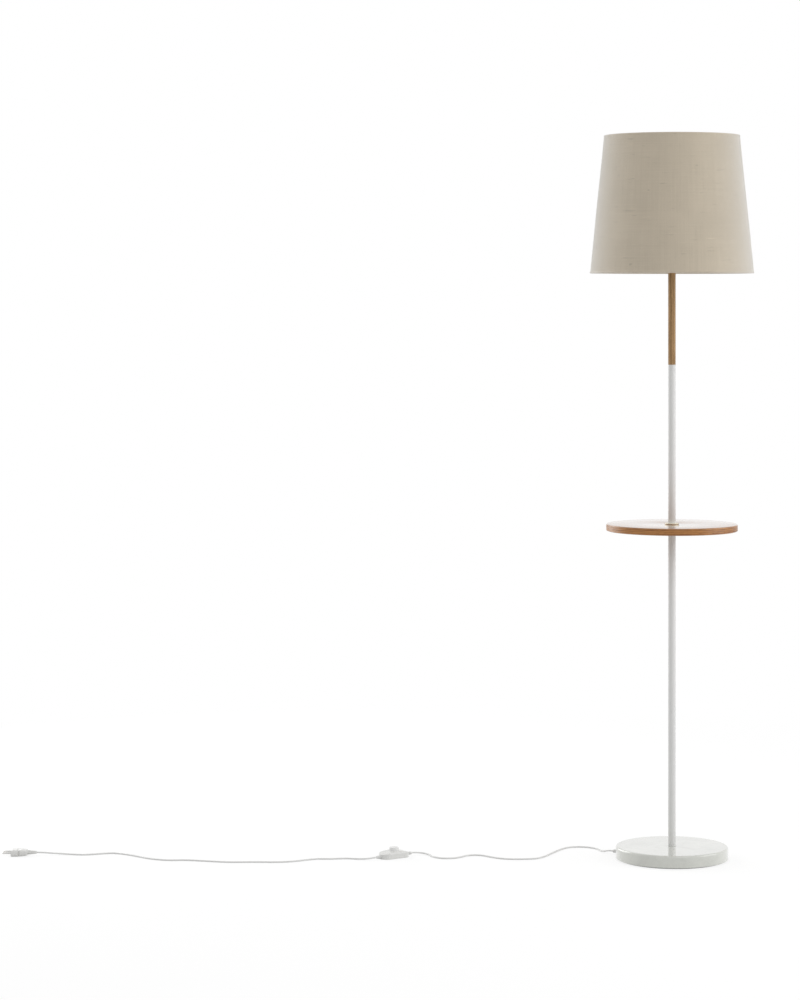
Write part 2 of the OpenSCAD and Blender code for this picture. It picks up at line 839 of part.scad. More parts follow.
module switch_upper_shell() {
    color("#f6f6f4") at_switch() difference() {
        union() {
            difference() {
                switch_form(0);
                switch_form(switch_wall);
                translate([-switch_l, -switch_w, -cut])
                    cube([2 * switch_l, 2 * switch_w, switch_split + cut]);
            }
            intersection() {
                switch_form(switch_wall / 2);
                at_posts() translate([0, 0, switch_floor]) cylinder(d = post_d, h = switch_h);
            }
        }
        translate([0, 0, switch_split]) cylinder(d = button_hole_d, h = switch_h);
        sleeve_holes();
        at_posts() cylinder(d = shell_screw_d + 2 * fit_gap, h = shell_screw_l + cut);
    }
}

module switch_sleeves() {
    color("#f4f4f2") at_switch() for (side = [-1, 1])
        translate([side * switch_l / 2, 0, switch_lead_z]) rotate([0, side * 90, 0]) {
            translate([0, 0, -sleeve_in_l]) cylinder(d = sleeve_d, h = sleeve_in_l);
            cylinder(d1 = sleeve_d, d2 = sleeve_tip_d, h = sleeve_out_l);
        }
}

module switch_button() {
    hollow_d = button_d - 2 * button_wall;
    color("#fafaf8") at_switch() difference() {
        union() {
            translate([0, 0, button_lip_z])
                rounded_disc(button_d, button_top_z - button_lip_z, button_edge_r);
            translate([0, 0, button_lip_z]) cylinder(d = button_d + 2 * button_lip, h = button_lip_t);
        }
        translate([0, 0, button_lip_z - cut])
            cylinder(d = hollow_d, h = button_top_z - button_roof - button_lip_z + cut);
    }
}

module switch_spring() {
    color("#c2c4c6") at_switch() cord(spring_route, spring_wire_d, spring_wire_d, spring_sides);
}

module switch_carrier() {
    color("#e6e4dc") at_switch() translate([0, 0, switch_floor]) {
        cylinder(d = carrier_d, h = carrier_t);
        translate([-terminal_x - terminal_size.x / 2, -carrier_arm_w / 2, 0])
            cube([2 * terminal_x + terminal_size.x, carrier_arm_w, carrier_t]);
    }
}

module switch_terminals() {
    screw_hole_d = 2.6;
    color("#c9a24a") at_switch() for (side = [-1, 1])
        translate([side * terminal_x, 0, carrier_top_z]) difference() {
            translate([-terminal_size.x / 2, -terminal_size.y / 2, 0]) cube(terminal_size);
            translate([0, 0, terminal_size.z / 2]) cylinder(d = screw_hole_d, h = terminal_size.z);
        }
}

module switch_cores() {
    gap = switch_l / 2 - sleeve_in_l - terminal_x - terminal_size.x / 2;
    color("#9a6a3a") at_switch() for (side = [-1, 1], lane = [-1, 1])
        translate([side * (terminal_x + terminal_size.x / 2), lane * core_y, switch_lead_z + core_d / 2])
            rotate([0, side * 90, 0]) cylinder(d = core_d, h = gap, $fn = 24);
}

module switch_screws() {
    color("#b9bbbd") at_switch() at_posts() {
        cylinder(d = shell_screw_head_d, h = shell_screw_head_t);
        cylinder(d = shell_screw_d, h = shell_screw_l);
    }
}

// ---- Plug ----

module plug_relief() {
    color("#f4f4f2") translate([plug_end_x, plug_y, plug_z]) rotate([0, 90, 0])
        cylinder(d1 = plug_h * relief_root_share, d2 = lead_w + 2 * relief_tip_wall, h = plug_relief_l);
}

// Thin slice of the plug's eight-sided section
module plug_section(w, h) {
    flat_w = w - 2 * plug_bevel * h;
    side_h = h * plug_side_share;
    rotate([90, 0, 90]) linear_extrude(plug_slice) polygon([
        [-w / 2, -side_h / 2], [-flat_w / 2, -h / 2], [flat_w / 2, -h / 2], [w / 2, -side_h / 2],
        [w / 2, side_h / 2], [flat_w / 2, h / 2], [-flat_w / 2, h / 2], [-w / 2, side_h / 2]
    ]);
}

// Puts its children on each pin's axis, at the plug's face and looking away from the pin's tip
module at_pins() {
    for (side = [-1, 1])
        translate([plug_face_x, plug_y + side * pin_pitch / 2, plug_z]) rotate([0, 90, 0]) children();
}

module plug_body() {
    front_l = plug_body_l * plug_front_share;
    color("#f4f4f2") difference() {
        translate([plug_face_x, plug_y, plug_z]) {
            hull() {
                plug_section(plug_w, plug_h);
                translate([front_l, 0, 0]) plug_section(plug_w, plug_h);
            }
            hull() {
                translate([front_l, 0, 0]) plug_section(plug_w, plug_h);
                translate([plug_body_l - plug_slice, 0, 0])
                    plug_section(plug_w * plug_neck_w, plug_h * plug_neck_h);
            }
        }
        at_pins() translate([0, 0, -cut]) cylinder(d = pin_root_d + 2 * fit_gap, h = pin_root_l + cut);
    }
}

module plug_pins() {
    shank_d = pin_d - 2 * pin_sleeve_wall;
    color("#c8c9ca") at_pins() {
        translate([0, 0, pin_d / 2 - pin_l]) sphere(d = pin_d);
        translate([0, 0, pin_d / 2 - pin_l]) cylinder(d = pin_d, h = pin_l - pin_sleeve_l - pin_d / 2);
        translate([0, 0, -pin_sleeve_l]) cylinder(d = shank_d, h = pin_sleeve_l);
        cylinder(d = pin_root_d, h = pin_root_l);
    }
}

module plug_pin_sleeves() {
    color("#f4f4f2") at_pins() translate([0, 0, -pin_sleeve_l])
        pipe(pin_d, pin_d - 2 * pin_sleeve_wall, pin_sleeve_l);
}

// ---- Drawing ----
base_slab();
base_pad();
base_washer();
base_nut();
base_rod();
strain_relief();
lower_tube();
tube_inserts();
table_washer_lower();
tabletop();
table_washer_upper();
table_rod();
upper_tube();
joint_rod();
wood_pole();
holder_rod();
holder_washer();
inner_lead();
holder_cap();
holder_skirt();
contact_block();
centre_contact();
screw_shell();
ring_nut();
bulb_cap();
bulb_body();
bulb_diffuser();
shade_cover();
shade_lining();
shade_top_ring();
shade_bottom_ring();
shade_spider();
shade_top_hem();
shade_bottom_hem();
lead_to_switch();
switch_lower_shell();
switch_upper_shell();
switch_sleeves();
switch_button();
switch_spring();
switch_carrier();
switch_terminals();
switch_cores();
switch_screws();
lead_to_plug();
plug_relief();
plug_body();
plug_pins();
plug_pin_sleeves();
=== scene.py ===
"""Floor lamp with a round table on its pole: the dressed model, its stage and its camera."""

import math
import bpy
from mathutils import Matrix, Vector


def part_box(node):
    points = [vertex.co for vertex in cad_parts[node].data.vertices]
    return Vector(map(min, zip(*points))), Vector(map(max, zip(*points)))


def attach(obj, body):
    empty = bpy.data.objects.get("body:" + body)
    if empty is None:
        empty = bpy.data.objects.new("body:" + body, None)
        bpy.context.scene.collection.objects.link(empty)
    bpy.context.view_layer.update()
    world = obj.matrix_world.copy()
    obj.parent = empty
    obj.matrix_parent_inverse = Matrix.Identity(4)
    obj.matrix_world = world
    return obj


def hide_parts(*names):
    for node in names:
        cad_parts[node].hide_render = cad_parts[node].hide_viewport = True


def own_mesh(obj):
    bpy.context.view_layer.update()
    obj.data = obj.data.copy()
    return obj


bl_info = {
    "name": "Floor Lamp with Table",
    "version": (1, 0, 0),
    "blender": (4, 5, 0),
    "location": "View3D > Sidebar > Floor Lamp",
    "description": "Builds a floor lamp with a table, a linen shade, a lead and a foot switch",
    "category": "Add Mesh",
}

import bmesh
import bpy
from bpy.props import FloatProperty, FloatVectorProperty, IntProperty, PointerProperty
from mathutils import Matrix, Vector, geometry, noise

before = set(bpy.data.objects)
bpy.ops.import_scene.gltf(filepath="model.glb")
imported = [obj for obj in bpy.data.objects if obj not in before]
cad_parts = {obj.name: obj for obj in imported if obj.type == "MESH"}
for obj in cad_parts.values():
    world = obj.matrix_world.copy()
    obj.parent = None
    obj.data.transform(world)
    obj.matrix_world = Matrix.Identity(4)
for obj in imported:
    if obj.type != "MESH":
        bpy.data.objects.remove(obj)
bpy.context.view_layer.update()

MM = 0.001
FULL_TURN = 2 * math.pi
UP = Vector((0, 0, 1))


# ---- Sizes taken from the frame ----


def low_z(node):
    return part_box(node)[0].z


def top_z(node):
    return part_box(node)[1].z


def levels(node):
    """A node's lowest and highest level in millimetres."""
    return low_z(node) / MM, top_z(node) / MM


def width(node):
    low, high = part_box(node)
    return high.x - low.x


def heading(degrees):
    """Level direction at an angle from X."""
    angle = math.radians(degrees)
    return Vector((math.cos(angle), math.sin(angle), 0))


# ---- The lead's two routes over the floor, as the solids have them ----

FLOOR_Z = 0.0016
BASE_EDGE = 0.120
EXIT_REACH = 0.134
EXIT_DIRECTION = heading(155)
LEAD_EXIT = EXIT_DIRECTION * EXIT_REACH + UP * 0.0065
SWITCH_DIRECTION = heading(35)
SWITCH_CENTRE = Vector((-0.594, 0.016, 0.005))
SWITCH_REACH = 0.045
SWITCH_HALF_LENGTH = 0.035
SWITCH_RIGHT = SWITCH_CENTRE + SWITCH_DIRECTION * SWITCH_REACH
SWITCH_LEFT = SWITCH_CENTRE - SWITCH_DIRECTION * SWITCH_REACH
SWITCH_PLACE = Matrix.Translation((SWITCH_CENTRE.x, SWITCH_CENTRE.y, 0))
PLUG_POINT = Vector((-1.362, 0.039, 0.00685))


def on_floor(*places):
    return [(x, y, FLOOR_Z) for x, y in places]


LEAD_TO_SWITCH = [
    LEAD_EXIT,
    LEAD_EXIT + EXIT_DIRECTION * 0.010,
    (-0.141, 0.071, 0.0036),
    (-0.147, 0.090, 0.0018),
    *on_floor((-0.154, 0.109), (-0.169, 0.125), (-0.191, 0.132), (-0.212, 0.126)),
    *on_floor((-0.228, 0.108), (-0.242, 0.082), (-0.256, 0.052), (-0.270, 0.022)),
    *on_floor((-0.288, -0.002), (-0.316, -0.010), (-0.347, -0.010), (-0.371, 0)),
    *on_floor((-0.391, 0.018), (-0.404, 0.031), (-0.421, 0.036), (-0.438, 0.029)),
    *on_floor((-0.451, 0.013), (-0.468, 0), (-0.489, -0.001), (-0.505, 0.009)),
    *on_floor((-0.514, 0.025)),
    (-0.519, 0.037, 0.0024),
    (-0.528, 0.046, 0.0033),
    (-0.540, 0.049, 0.0043),
    SWITCH_RIGHT + SWITCH_DIRECTION * 0.008,
    SWITCH_RIGHT,
]
LEAD_TO_PLUG = [
    SWITCH_LEFT,
    SWITCH_LEFT - SWITCH_DIRECTION * 0.008,
    (-0.650, -0.018, 0.0038),
    (-0.663, -0.015, 0.0028),
    *on_floor((-0.677, -0.007), (-0.696, -0.003), (-0.730, -0.008), (-0.756, -0.008)),
    *on_floor((-0.780, -0.019), (-0.808, -0.036), (-0.842, -0.044), (-0.890, -0.043)),
    *on_floor((-0.945, -0.044), (-0.994, -0.032), (-1.035, -0.022), (-1.078, -0.022)),
    *on_floor((-1.112, -0.007), (-1.140, 0.017), (-1.168, 0.042), (-1.200, 0.058)),
    *on_floor((-1.232, 0.049), (-1.262, 0.040)),
    (-1.302, 0.044, 0.0026),
    PLUG_POINT + Vector((0.016, 0, -0.0006)),
    PLUG_POINT,
]


# ---- Settings ----


def number(name, description, default, low, high, **kind):
    return FloatProperty(
        name=name, description=description, default=default, min=low, max=high, **kind
    )


def length(name, description, default):
    return number(name, description, default, 0.0, 3.0, unit="LENGTH", precision=4)


def panel_power(name, place, default):
    description = f"Power of the soft panel {place}"
    return number(name, description, default, 0.0, 500.0, unit="POWER")


def count(name, description, default, low, high):
    return IntProperty(name=name, description=description, default=default, min=low, max=high)


def colour(name, thing, default):
    return FloatVectorProperty(
        name=name,
        description=f"Colour of the {thing}",
        default=default,
        min=0.0,
        max=1.0,
        size=3,
        subtype="COLOR",
    )


class StageSettings(bpy.types.PropertyGroup):
    """Floor, lights and camera"""

    floor_colour: colour("Floor", "floor and the backdrop", (1.0, 1.0, 1.0))
    sky_level: number(
        "Soft Light", "Strength of the even light from all round", 0.68, 0.0, 1.0, subtype="FACTOR"
    )
    right_power: panel_power("Right Panel", "at the right", 31.0)
    left_power: panel_power("Left Panel", "at the left", 35.0)
    front_power: panel_power("Front Panel", "above the camera", 18.0)
    lens: number("Lens", "Focal length of the camera", 108.65, 20.0, 300.0, unit="CAMERA")


class BaseSettings(bpy.types.PropertyGroup):
    """Stone base and its felt"""

    stone: colour("Stone", "polished stone", (0.69, 0.70, 0.65))
    vein: colour("Veins", "faint clouds in the stone", (0.59, 0.60, 0.56))
    # Dark felt, whose colour also paints the shade under the base's rim
    felt: colour("Felt", "felt under the base", (0.16, 0.16, 0.165))
    felt_radius: length("Felt Radius", "Radius of the felt disc", width("base_pad") / 2)


class PoleSettings(bpy.types.PropertyGroup):
    """Steel tubes and the wooden end of the pole"""

    radius: length("Pole Radius", "Outer radius of the pole", width("lower_tube") / 2)
    wall: length("Tube Wall", "Wall of the steel tubes", 0.001)
    bore: length("Wood Bore", "Bore of the wooden end", 0.007)
    edge: length("Edge", "Rounding of the tubes' ends", 0.0004)
    lacquer: colour("Lacquer", "white lacquer", (0.74, 0.74, 0.73))
    wood_light: colour("Light Wood", "pole's lighter wood", (0.49, 0.304, 0.150))
    wood_dark: colour("Dark Wood", "pole's darker wood", (0.243, 0.144, 0.060))


class TableSettings(bpy.types.PropertyGroup):
    """Round tabletop and its washers"""

    radius: length("Table Radius", "Radius of the tabletop", width("tabletop") / 2)
    edge: length("Edge", "Rounding of the tabletop's edges", 0.002)
    wood_light: colour("Light Wood", "tabletop's lighter wood", (0.485, 0.218, 0.064))
    wood_dark: colour("Dark Wood", "tabletop's darker wood", (0.225, 0.078, 0.014))
    grain: length("Grain", "Width of one band of grain", 0.011)


class HolderSettings(bpy.types.PropertyGroup):
    """Lampholder inside the shade"""

    plastic: colour("Plastic", "lampholder", (0.80, 0.80, 0.78))
    pitch: length("Thread Pitch", "Pitch of the thread that takes the ring nut", 0.003)
    groove: length("Thread Depth", "Depth of that thread", 0.0007)


class BulbSettings(bpy.types.PropertyGroup):
    """Lamp bulb"""

    globe_radius: length("Globe Radius", "Radius of the bulb's globe", width("bulb_diffuser") / 2)
    globe: colour("Globe", "opal globe", (0.86, 0.855, 0.82))


class ShadeSettings(bpy.types.PropertyGroup):
    """Linen shade on its wire frame"""

    linen_light: colour("Light Threads", "lighter threads", (0.695, 0.612, 0.488))
    linen_dark: colour("Dark Threads", "darker threads", (0.605, 0.526, 0.410))
    # Tint of the painted sheen that lightens the linen where it turns away from the view
    fuzz: colour("Painted_Sheen", "sheen painted where the cloth turns away", (1.0, 0.98, 0.93))
    lining: colour("Lining", "white lining", (0.76, 0.74, 0.68))
    thread: length("Thread Pitch", "Distance between two threads of the weave", 0.0009)
    seam_width: length("Seam Width", "Width of the glued seam at the back", 0.012)
    hem: length("Hem Thickness", "Thickness of the rolled hems", 0.0048)
    steps: count("Steps", "Faces round the shade", 192, 24, 360)


class LeadSettings(bpy.types.PropertyGroup):
    """Mains lead"""

    width: length("Lead Width", "Width of the flat lead", 0.0048)
    thickness: length("Lead Thickness", "Thickness of the flat lead", 0.003)
    sheath: colour("Sheath", "lead's sheath", (0.78, 0.78, 0.77))


class SwitchSettings(bpy.types.PropertyGroup):
    """Foot switch"""

    shell: colour("Shell", "switch's shells", (0.79, 0.79, 0.77))
    button: colour("Button", "push button", (0.83, 0.83, 0.82))
    button_radius: length("Button Radius", "Radius of the push button", 0.0105)
    dish: length("Dish", "Depth of the hollow in the button's top", 0.0006)


class PlugSettings(bpy.types.PropertyGroup):
    """Flat two-pin plug"""

    body: colour("Body", "plug", (0.78, 0.78, 0.76))
    rib_count: count("Ribs", "Grip ribs on each side of the plug", 5, 0, 9)


def part(group, name):
    return PointerProperty(type=group, name=name, description=group.__doc__)


class FloorLampSettings(bpy.types.PropertyGroup):
    """Everything that a user can change"""

    stage: part(StageSettings, "Stage")
    base: part(BaseSettings, "Base")
    pole: part(PoleSettings, "Pole")
    table: part(TableSettings, "Table")
    holder: part(HolderSettings, "Lampholder")
    bulb: part(BulbSettings, "Bulb")
    shade: part(ShadeSettings, "Shade")
    lead: part(LeadSettings, "Lead")
    switch: part(SwitchSettings, "Foot Switch")
    plug: part(PlugSettings, "Plug")


# ---- Finishes ----


def rgba(rgb):
    return (*rgb, 1.0)


def dim(rgb, share):
    return [c * share for c in rgb]


def midway(first, second):
    return [(a + b) / 2 for a, b in zip(first, second)]


class Finish:
    """Node tree of a new material or of the world, with short calls for the nodes they share."""

    def __init__(self, owner):
        self.owner = bpy.data.materials.new(owner) if isinstance(owner, str) else owner
        self.owner.use_nodes = True
        self.tree = self.owner.node_tree
        self.tree.nodes.clear()

    def add(self, kind, inputs=None, out=0, **settings):
        node = self.tree.nodes.new("ShaderNode" + kind)
        for key, value in settings.items():
            setattr(node, key, value)
        for key, value in (inputs or {}).items():
            if isinstance(value, bpy.types.NodeSocket):
                self.tree.links.new(value, node.inputs[key])
            else:
                node.inputs[key].default_value = value
        return node if out is None else node.outputs[out]

    def place(self, scale=(1, 1, 1), shift=(0, 0, 0), source="Object"):
        """The piece's own coordinates, moved and stretched."""
        inputs = {"Vector": self.add("TexCoord", out=source), "Location": shift, "Scale": scale}
        return self.add("Mapping", inputs)

    def noise(self, where, scale, detail=3.0, roughness=0.55, distortion=0.0):
        inputs = {"Vector": where, "Scale": scale, "Detail": detail, "Roughness": roughness}
        return self.add("TexNoise", {**inputs, "Distortion": distortion})

    def ramp(self, factor, *stops):
        """Colours or greys at positions, where a grey is a single number."""
        node = self.add("ValToRGB", {"Fac": factor}, out=None)
        elements = node.color_ramp.elements
        while len(elements) < len(stops):
            elements.new(0.5)
        for element, (position, value) in zip(elements, stops):
            element.position = position
            element.color = rgba((value,) * 3 if isinstance(value, float) else value)
        return node.outputs["Color"]

    def range(self, value, low, high, start=0.0, end=1.0):
        inputs = {"Value": value, "From Min": start, "From Max": end, "To Min": low, "To Max": high}
        return self.add("MapRange", inputs)

    def sum(self, first, second, operation="ADD"):
        return self.add("Math", {0: first, 1: second}, operation=operation)

    def mix(self, factor, first, second, blend="MIX"):
        inputs = {0: factor, 6: first, 7: second}
        return self.add("Mix", inputs, out=2, data_type="RGBA", blend_type=blend)

    def drift(self, level, tint, share):
        """A tint that wanders to a dimmer one and back."""
        return self.mix(self.range(level, 0.0, 1.0, 0.3, 0.7), rgba(tint), rgba(dim(tint, share)))

    def bump(self, height, depth, strength=1.0, below=None):
        inputs = {"Height": height, "Distance": depth, "Strength": strength}
        if below is not None:
            inputs["Normal"] = below
        return self.add("Bump", inputs)

    def seen_rays(self):
        """One for the rays by which the camera, gloss and glass see a surface, or else nought."""
        rays = self.add("LightPath", out=None).outputs
        seen = self.sum(rays["Is Camera Ray"], rays["Is Glossy Ray"])
        return self.sum(seen, rays["Is Transmission Ray"])

    def surface(self, colour, roughness, normal, **sockets):
        """Ends the tree in one shader, whose even values sit on its own sockets."""
        inputs = {"Base Color": colour, "Roughness": roughness, "Normal": normal}
        for key, value in sockets.items():
            inputs[key.replace("_", " ").title().replace("Ior", "IOR")] = value
        return self.end(self.add("BsdfPrincipled", inputs))

    def end(self, shader, kind="Material"):
        self.add("Output" + kind, {"Surface": shader}, out=None)
        return self.owner


def build_stone(s):
    f = Finish("polished_white_stone")
    where = f.place()
    clouds = f.noise(where, 11.0, 6.0, 0.6, 0.7)
    veins = f.noise(where, 17.0, 5.0, 0.62, 1.6)
    specks = f.noise(where, 620.0, 2.0, 0.5)
    cloud_colour = f.ramp(clouds, (0.38, s.stone), (0.74, s.vein))
    vein_mask = f.ramp(veins, (0.47, 1.0), (0.5, 0.9), (0.53, 1.0))
    veined = f.mix(0.5, cloud_colour, vein_mask, "MULTIPLY")
    speck_mask = f.ramp(specks, (0.3, 0.94), (0.45, 1.0))
    base = f.mix(1.0, veined, speck_mask, "MULTIPLY")
    roughness = f.range(f.noise(where, 70.0), 0.10, 0.20)
    normal = f.bump(f.noise(where, 240.0, 2.0), 0.00002)
    return f.surface(base, roughness, normal, coat_weight=1.0, coat_roughness=0.06)


def build_lacquer(name, tint, low=0.36, high=0.48):
    """Sprayed white lacquer or powder coat with a faint orange peel."""
    f = Finish(name)
    where = f.place()
    base = f.drift(f.noise(where, 9.0, 2.0), tint, 0.965)
    roughness = f.range(f.noise(where, 130.0, 4.0), low, high, 0.3, 0.7)
    normal = f.bump(f.noise(where, 900.0, 2.0), 0.00003)
    gloss = {"specular_ior_level": 0.3, "coat_weight": 0.05, "coat_roughness": 0.12}
    return f.surface(base, roughness, normal, **gloss)


def build_wood(name, s, along, band, low, high, source="Object", spread=0.34, **sockets):
    """Straight-grained wood with bands, fine fibres and short dark pores.
    Along is 0 for X and 2 for Z, and a small spread gives strong bands."""
    f = Finish(name)

    def stretched(share, shift=(0, 0, 0)):
        stretch = [1.0, 1.0, 1.0]
        stretch[along] = share
        return f.place(stretch, shift, source)

    where = stretched(0.05)
    waviness = {"Distortion": 4.0, "Detail": 3.0, "Detail Scale": 7.0, "Detail Roughness": 0.6}
    bands = f.add(
        "TexWave",
        {"Vector": stretched(0.05, (0.013, 0.04, 0.02)), "Scale": 0.32 / band, **waviness},
        out=1,
        wave_type="BANDS",
        bands_direction="X" if along == 2 else "Y",
        wave_profile="SAW",
    )
    streaks = f.noise(where, 170.0, 4.0, 0.6, 0.3)
    fibres = f.noise(where, 900.0, 3.0, 0.6)
    drift = f.noise(where, 24.0, 2.0)
    tone = f.sum(f.sum(bands, streaks, "MULTIPLY"), f.sum(drift, 0.42, "MULTIPLY"))
    middling = midway(s.wood_light, s.wood_dark)
    stops = (0.5 - spread, s.wood_light), (0.5, middling), (0.5 + spread, s.wood_dark)
    fibre_mask = f.ramp(fibres, (0.34, 0.80), (0.56, 1.0))
    grained = f.mix(0.8, f.ramp(tone, *stops), fibre_mask, "MULTIPLY")
    pores = f.noise(stretched(0.09, (0.3, 0.2, 0.1)), 1500.0, 1.0, 0.4)
    pore_mask = f.ramp(pores, (0.30, 0.55), (0.37, 1.0))
    finished = f.mix(0.75, grained, pore_mask, "MULTIPLY")
    roughness = f.range(streaks, low, high, 0.25, 0.75)
    normal = f.bump(fibres, 0.00003, 0.7, below=f.bump(pores, 0.00006, 0.6))
    return f.surface(finished, roughness, normal, **sockets)


def build_linen(name, s, weave_depth):
    """Plain linen weave on the piece's own map in metres: threads over and under, and slubs, with
    painted shade between the threads and a painted sheen where the cloth turns away.
    """
    f = Finish(name)
    cloth = f.place(source="UV")
    across, up, _ = f.add("SeparateXYZ", {0: cloth}, out=None).outputs

    def drawn_out(stretch, scale, detail, roughness=0.55, shift=(0, 0, 0)):
        """Noise that is drawn out along one way of the cloth."""
        return f.noise(f.place(stretch, shift, "UV"), scale, detail, roughness)

    def thread_wave(value, wobble):
        turns = f.sum(f.sum(value, math.pi / s.thread, "MULTIPLY"), f.range(wobble, -0.35, 0.35))
        return f.sum(f.sum(turns, 0.0, "SINE"), 0.0, "ABSOLUTE")

    warp = thread_wave(across, drawn_out((1, 0.1, 1), 60.0, 2.0))
    weft = thread_wave(up, drawn_out((0.1, 1, 1), 60.0, 2.0))
    over = f.add("TexChecker", {"Vector": cloth, "Scale": 1 / s.thread}, out=1)
    weave = f.add("Mix", {0: over, 2: warp, 3: weft}, data_type="FLOAT")

    coarse = 1 / (2.6 * s.thread)
    warp_tone = drawn_out((1, 0.012, 1), coarse, 2.0, 0.6)
    weft_tone = drawn_out((0.012, 1, 1), coarse, 2.0, 0.6)
    tone = f.sum(f.sum(warp_tone, weft_tone), 0.5, "MULTIPLY")
    middling = midway(s.linen_light, s.linen_dark)
    shaded = f.ramp(tone, (0.24, s.linen_dark), (0.50, middling), (0.76, s.linen_light))

    slubs = drawn_out((0.11, 1, 1), 210.0, 2.0, shift=(0.7, 0.1, 0))
    tall_slubs = drawn_out((1, 0.12, 1), 170.0, 2.0, shift=(0.2, 0.6, 0))
    flecks = drawn_out((0.45, 1, 1), 95.0, 1.0, 0.5, shift=(1.7, 2.1, 0))
    for mask in (
        f.ramp(slubs, (0.27, 0.85), (0.35, 1.0), (0.66, 1.0), (0.75, 1.11)),
        f.ramp(tall_slubs, (0.25, 0.96), (0.36, 1.0), (0.70, 1.0), (0.80, 1.03)),
        f.ramp(flecks, (0.205, 0.84), (0.245, 1.0)),
        f.ramp(f.noise(cloth, 9.0, 3.0, 0.6), (0.3, 0.955), (0.7, 1.03)),
    ):
        shaded = f.mix(1.0, shaded, mask, "MULTIPLY")
    # Painted shade: the colour darkens between the threads, where the weave is low
    painted_thread_shade = f.ramp(weave, (0.05, 0.80), (0.6, 1.0))
    shaded = f.mix(0.75, shaded, painted_thread_shade, "MULTIPLY")
    # Painted sheen: the colour turns lighter where the cloth turns away from the view
    facing_away = f.add("LayerWeight", {"Blend": 0.5}, out=1)
    shaded = f.mix(f.sum(facing_away, 2.5, "POWER"), shaded, rgba(s.fuzz))
    lumps = f.bump(f.sum(slubs, tall_slubs), 0.00035, 0.55)
    return f.surface(
        shaded,
        f.range(weave, 0.92, 0.74),
        f.bump(weave, weave_depth, 0.8, lumps),
        sheen_weight=1.0,
        sheen_roughness=0.4,
        sheen_tint=(1.0, 0.97, 0.92, 1.0),
        specular_ior_level=0.2,
    )


def build_lining(s):
    f = Finish("white_shade_lining")
    where = f.place()
    tone = f.noise(where, 14.0, 4.0, 0.6)
    base = f.ramp(tone, (0.3, dim(s.lining, 0.95)), (0.7, s.lining))
    fine = f.noise(where, 1100.0, 2.0)
    normal = f.bump(fine, 0.00006, 0.6)
    return f.surface(base, f.range(fine, 0.42, 0.58), normal, specular_ior_level=0.4)


def build_plastic(name, tint, low, high, grain=1400.0, depth=0.00002, coat=0.0):
    """Moulded plastic with a fine spark-eroded grain and slightly uneven gloss."""
    f = Finish(name)
    where = f.place()
    base = f.drift(f.noise(where, 38.0, 3.0, 0.6), tint, 0.97)
    roughness = f.range(f.noise(where, 210.0, 2.0, 0.5), low, high, 0.2, 0.8)
    normal = f.bump(f.noise(where, grain, 2.0), depth)
    return f.surface(base, roughness, normal, coat_weight=coat, coat_roughness=0.15)


def build_metal(name, tint, low, high, stretch=(1, 1, 1)):
    f = Finish(name)
    marks = f.noise(f.place(stretch), 700.0, 4.0, 0.65)
    drift = f.noise(f.place(), 90.0, 4.0, 0.6)
    base = f.ramp(drift, (0.3, dim(tint, 0.86)), (0.7, tint))
    normal = f.bump(marks, 0.00002)
    return f.surface(base, f.range(marks, low, high, 0.3, 0.7), normal, metallic=1.0)


def build_felt_and_rim_shade(s):
    # Real felt, dark so that it also paints the shade under the base's rim
    f = Finish("grey_felt")
    fibres = f.noise(f.place(), 900.0, 5.0, 0.75, 1.2)
    base = f.ramp(fibres, (0.3, dim(s.felt, 0.6)), (0.7, dim(s.felt, 1.5)))
    normal = f.bump(fibres, 0.0005, 0.9)
    return f.surface(base, 0.95, normal, sheen_weight=0.4, sheen_roughness=0.6)


def build_opal(s):
    f = Finish("opal_globe")
    where = f.place()
    tone = f.noise(where, 55.0, 3.0)
    base = f.ramp(tone, (0.3, dim(s.globe, 0.975)), (0.7, s.globe))
    normal = f.bump(f.noise(where, 1600.0, 2.0), 0.000015)
    roughness = f.range(tone, 0.34, 0.42)
    return f.surface(base, roughness, normal, subsurface_weight=0.25, subsurface_scale=0.004)


def build_floor(s):
    """Matt floor that looks white to the camera but keeps the object's shadow."""
    f = Finish("studio_floor")
    where = f.place((0.42, 0.42, 0.42), (0.16, 0, 0))
    nearness = f.add("TexGradient", {"Vector": where}, gradient_type="SPHERICAL")
    tint = rgba(s.floor_colour)
    paper = f.add("BsdfDiffuse", {"Color": rgba(dim(s.floor_colour, 0.72))})
    weave = f.range(f.noise(f.place(), 260.0), 0.27, 0.29)
    shadow_share = f.range(nearness, 0.0, 1.0, 0.0, 0.35)
    kept_tint = f.mix(f.sum(shadow_share, weave, "MULTIPLY"), (0, 0, 0, 1), tint)
    lit = f.add("BsdfDiffuse", {"Color": kept_tint})
    glow = f.add("Emission", {"Color": tint, "Strength": f.range(shadow_share, 1.0, 0.755)})
    seen = f.add("AddShader", {0: lit, 1: glow})
    return f.end(f.add("MixShader", {0: f.seen_rays(), 1: paper, 2: seen}))


# ---- Modelling helpers ----


def settings():
    return bpy.context.scene.floor_lamp


def new_mesh(name, bm):
    mesh = bpy.data.meshes.new(name)
    bm.to_mesh(mesh)
    bm.free()
    return mesh


def new_object(name, data):
    """Object in the scene, in place of an older one of its name."""
    old = bpy.data.objects.get(name)
    if old is not None:
        bpy.data.objects.remove(old)
    obj = bpy.data.objects.new(name, data)
    bpy.context.scene.collection.objects.link(obj)
    return obj


def add_piece(name, bm, finish, replaced=(), body="lamp", sharp=40):
    """Turns a bmesh into a piece that rides on a body and stands for the replaced nodes."""
    mesh = new_mesh(name, bm)
    if not mesh.polygons:
        raise RuntimeError(f"{name} has no faces")
    mesh.shade_smooth()
    mesh.set_sharp_from_angle(angle=math.radians(sharp))
    mesh.materials.append(finish)
    obj = new_object(name, mesh)
    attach(obj, body)
    if replaced:
        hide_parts(*replaced)
    return obj


def give_finish(finish, *nodes):
    """Gives CAD nodes that stay a better material."""
    for name in nodes:
        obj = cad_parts[name]
        if not obj.material_slots:
            obj.data.materials.append(finish)
        for material_slot in obj.material_slots:
            material_slot.material = finish


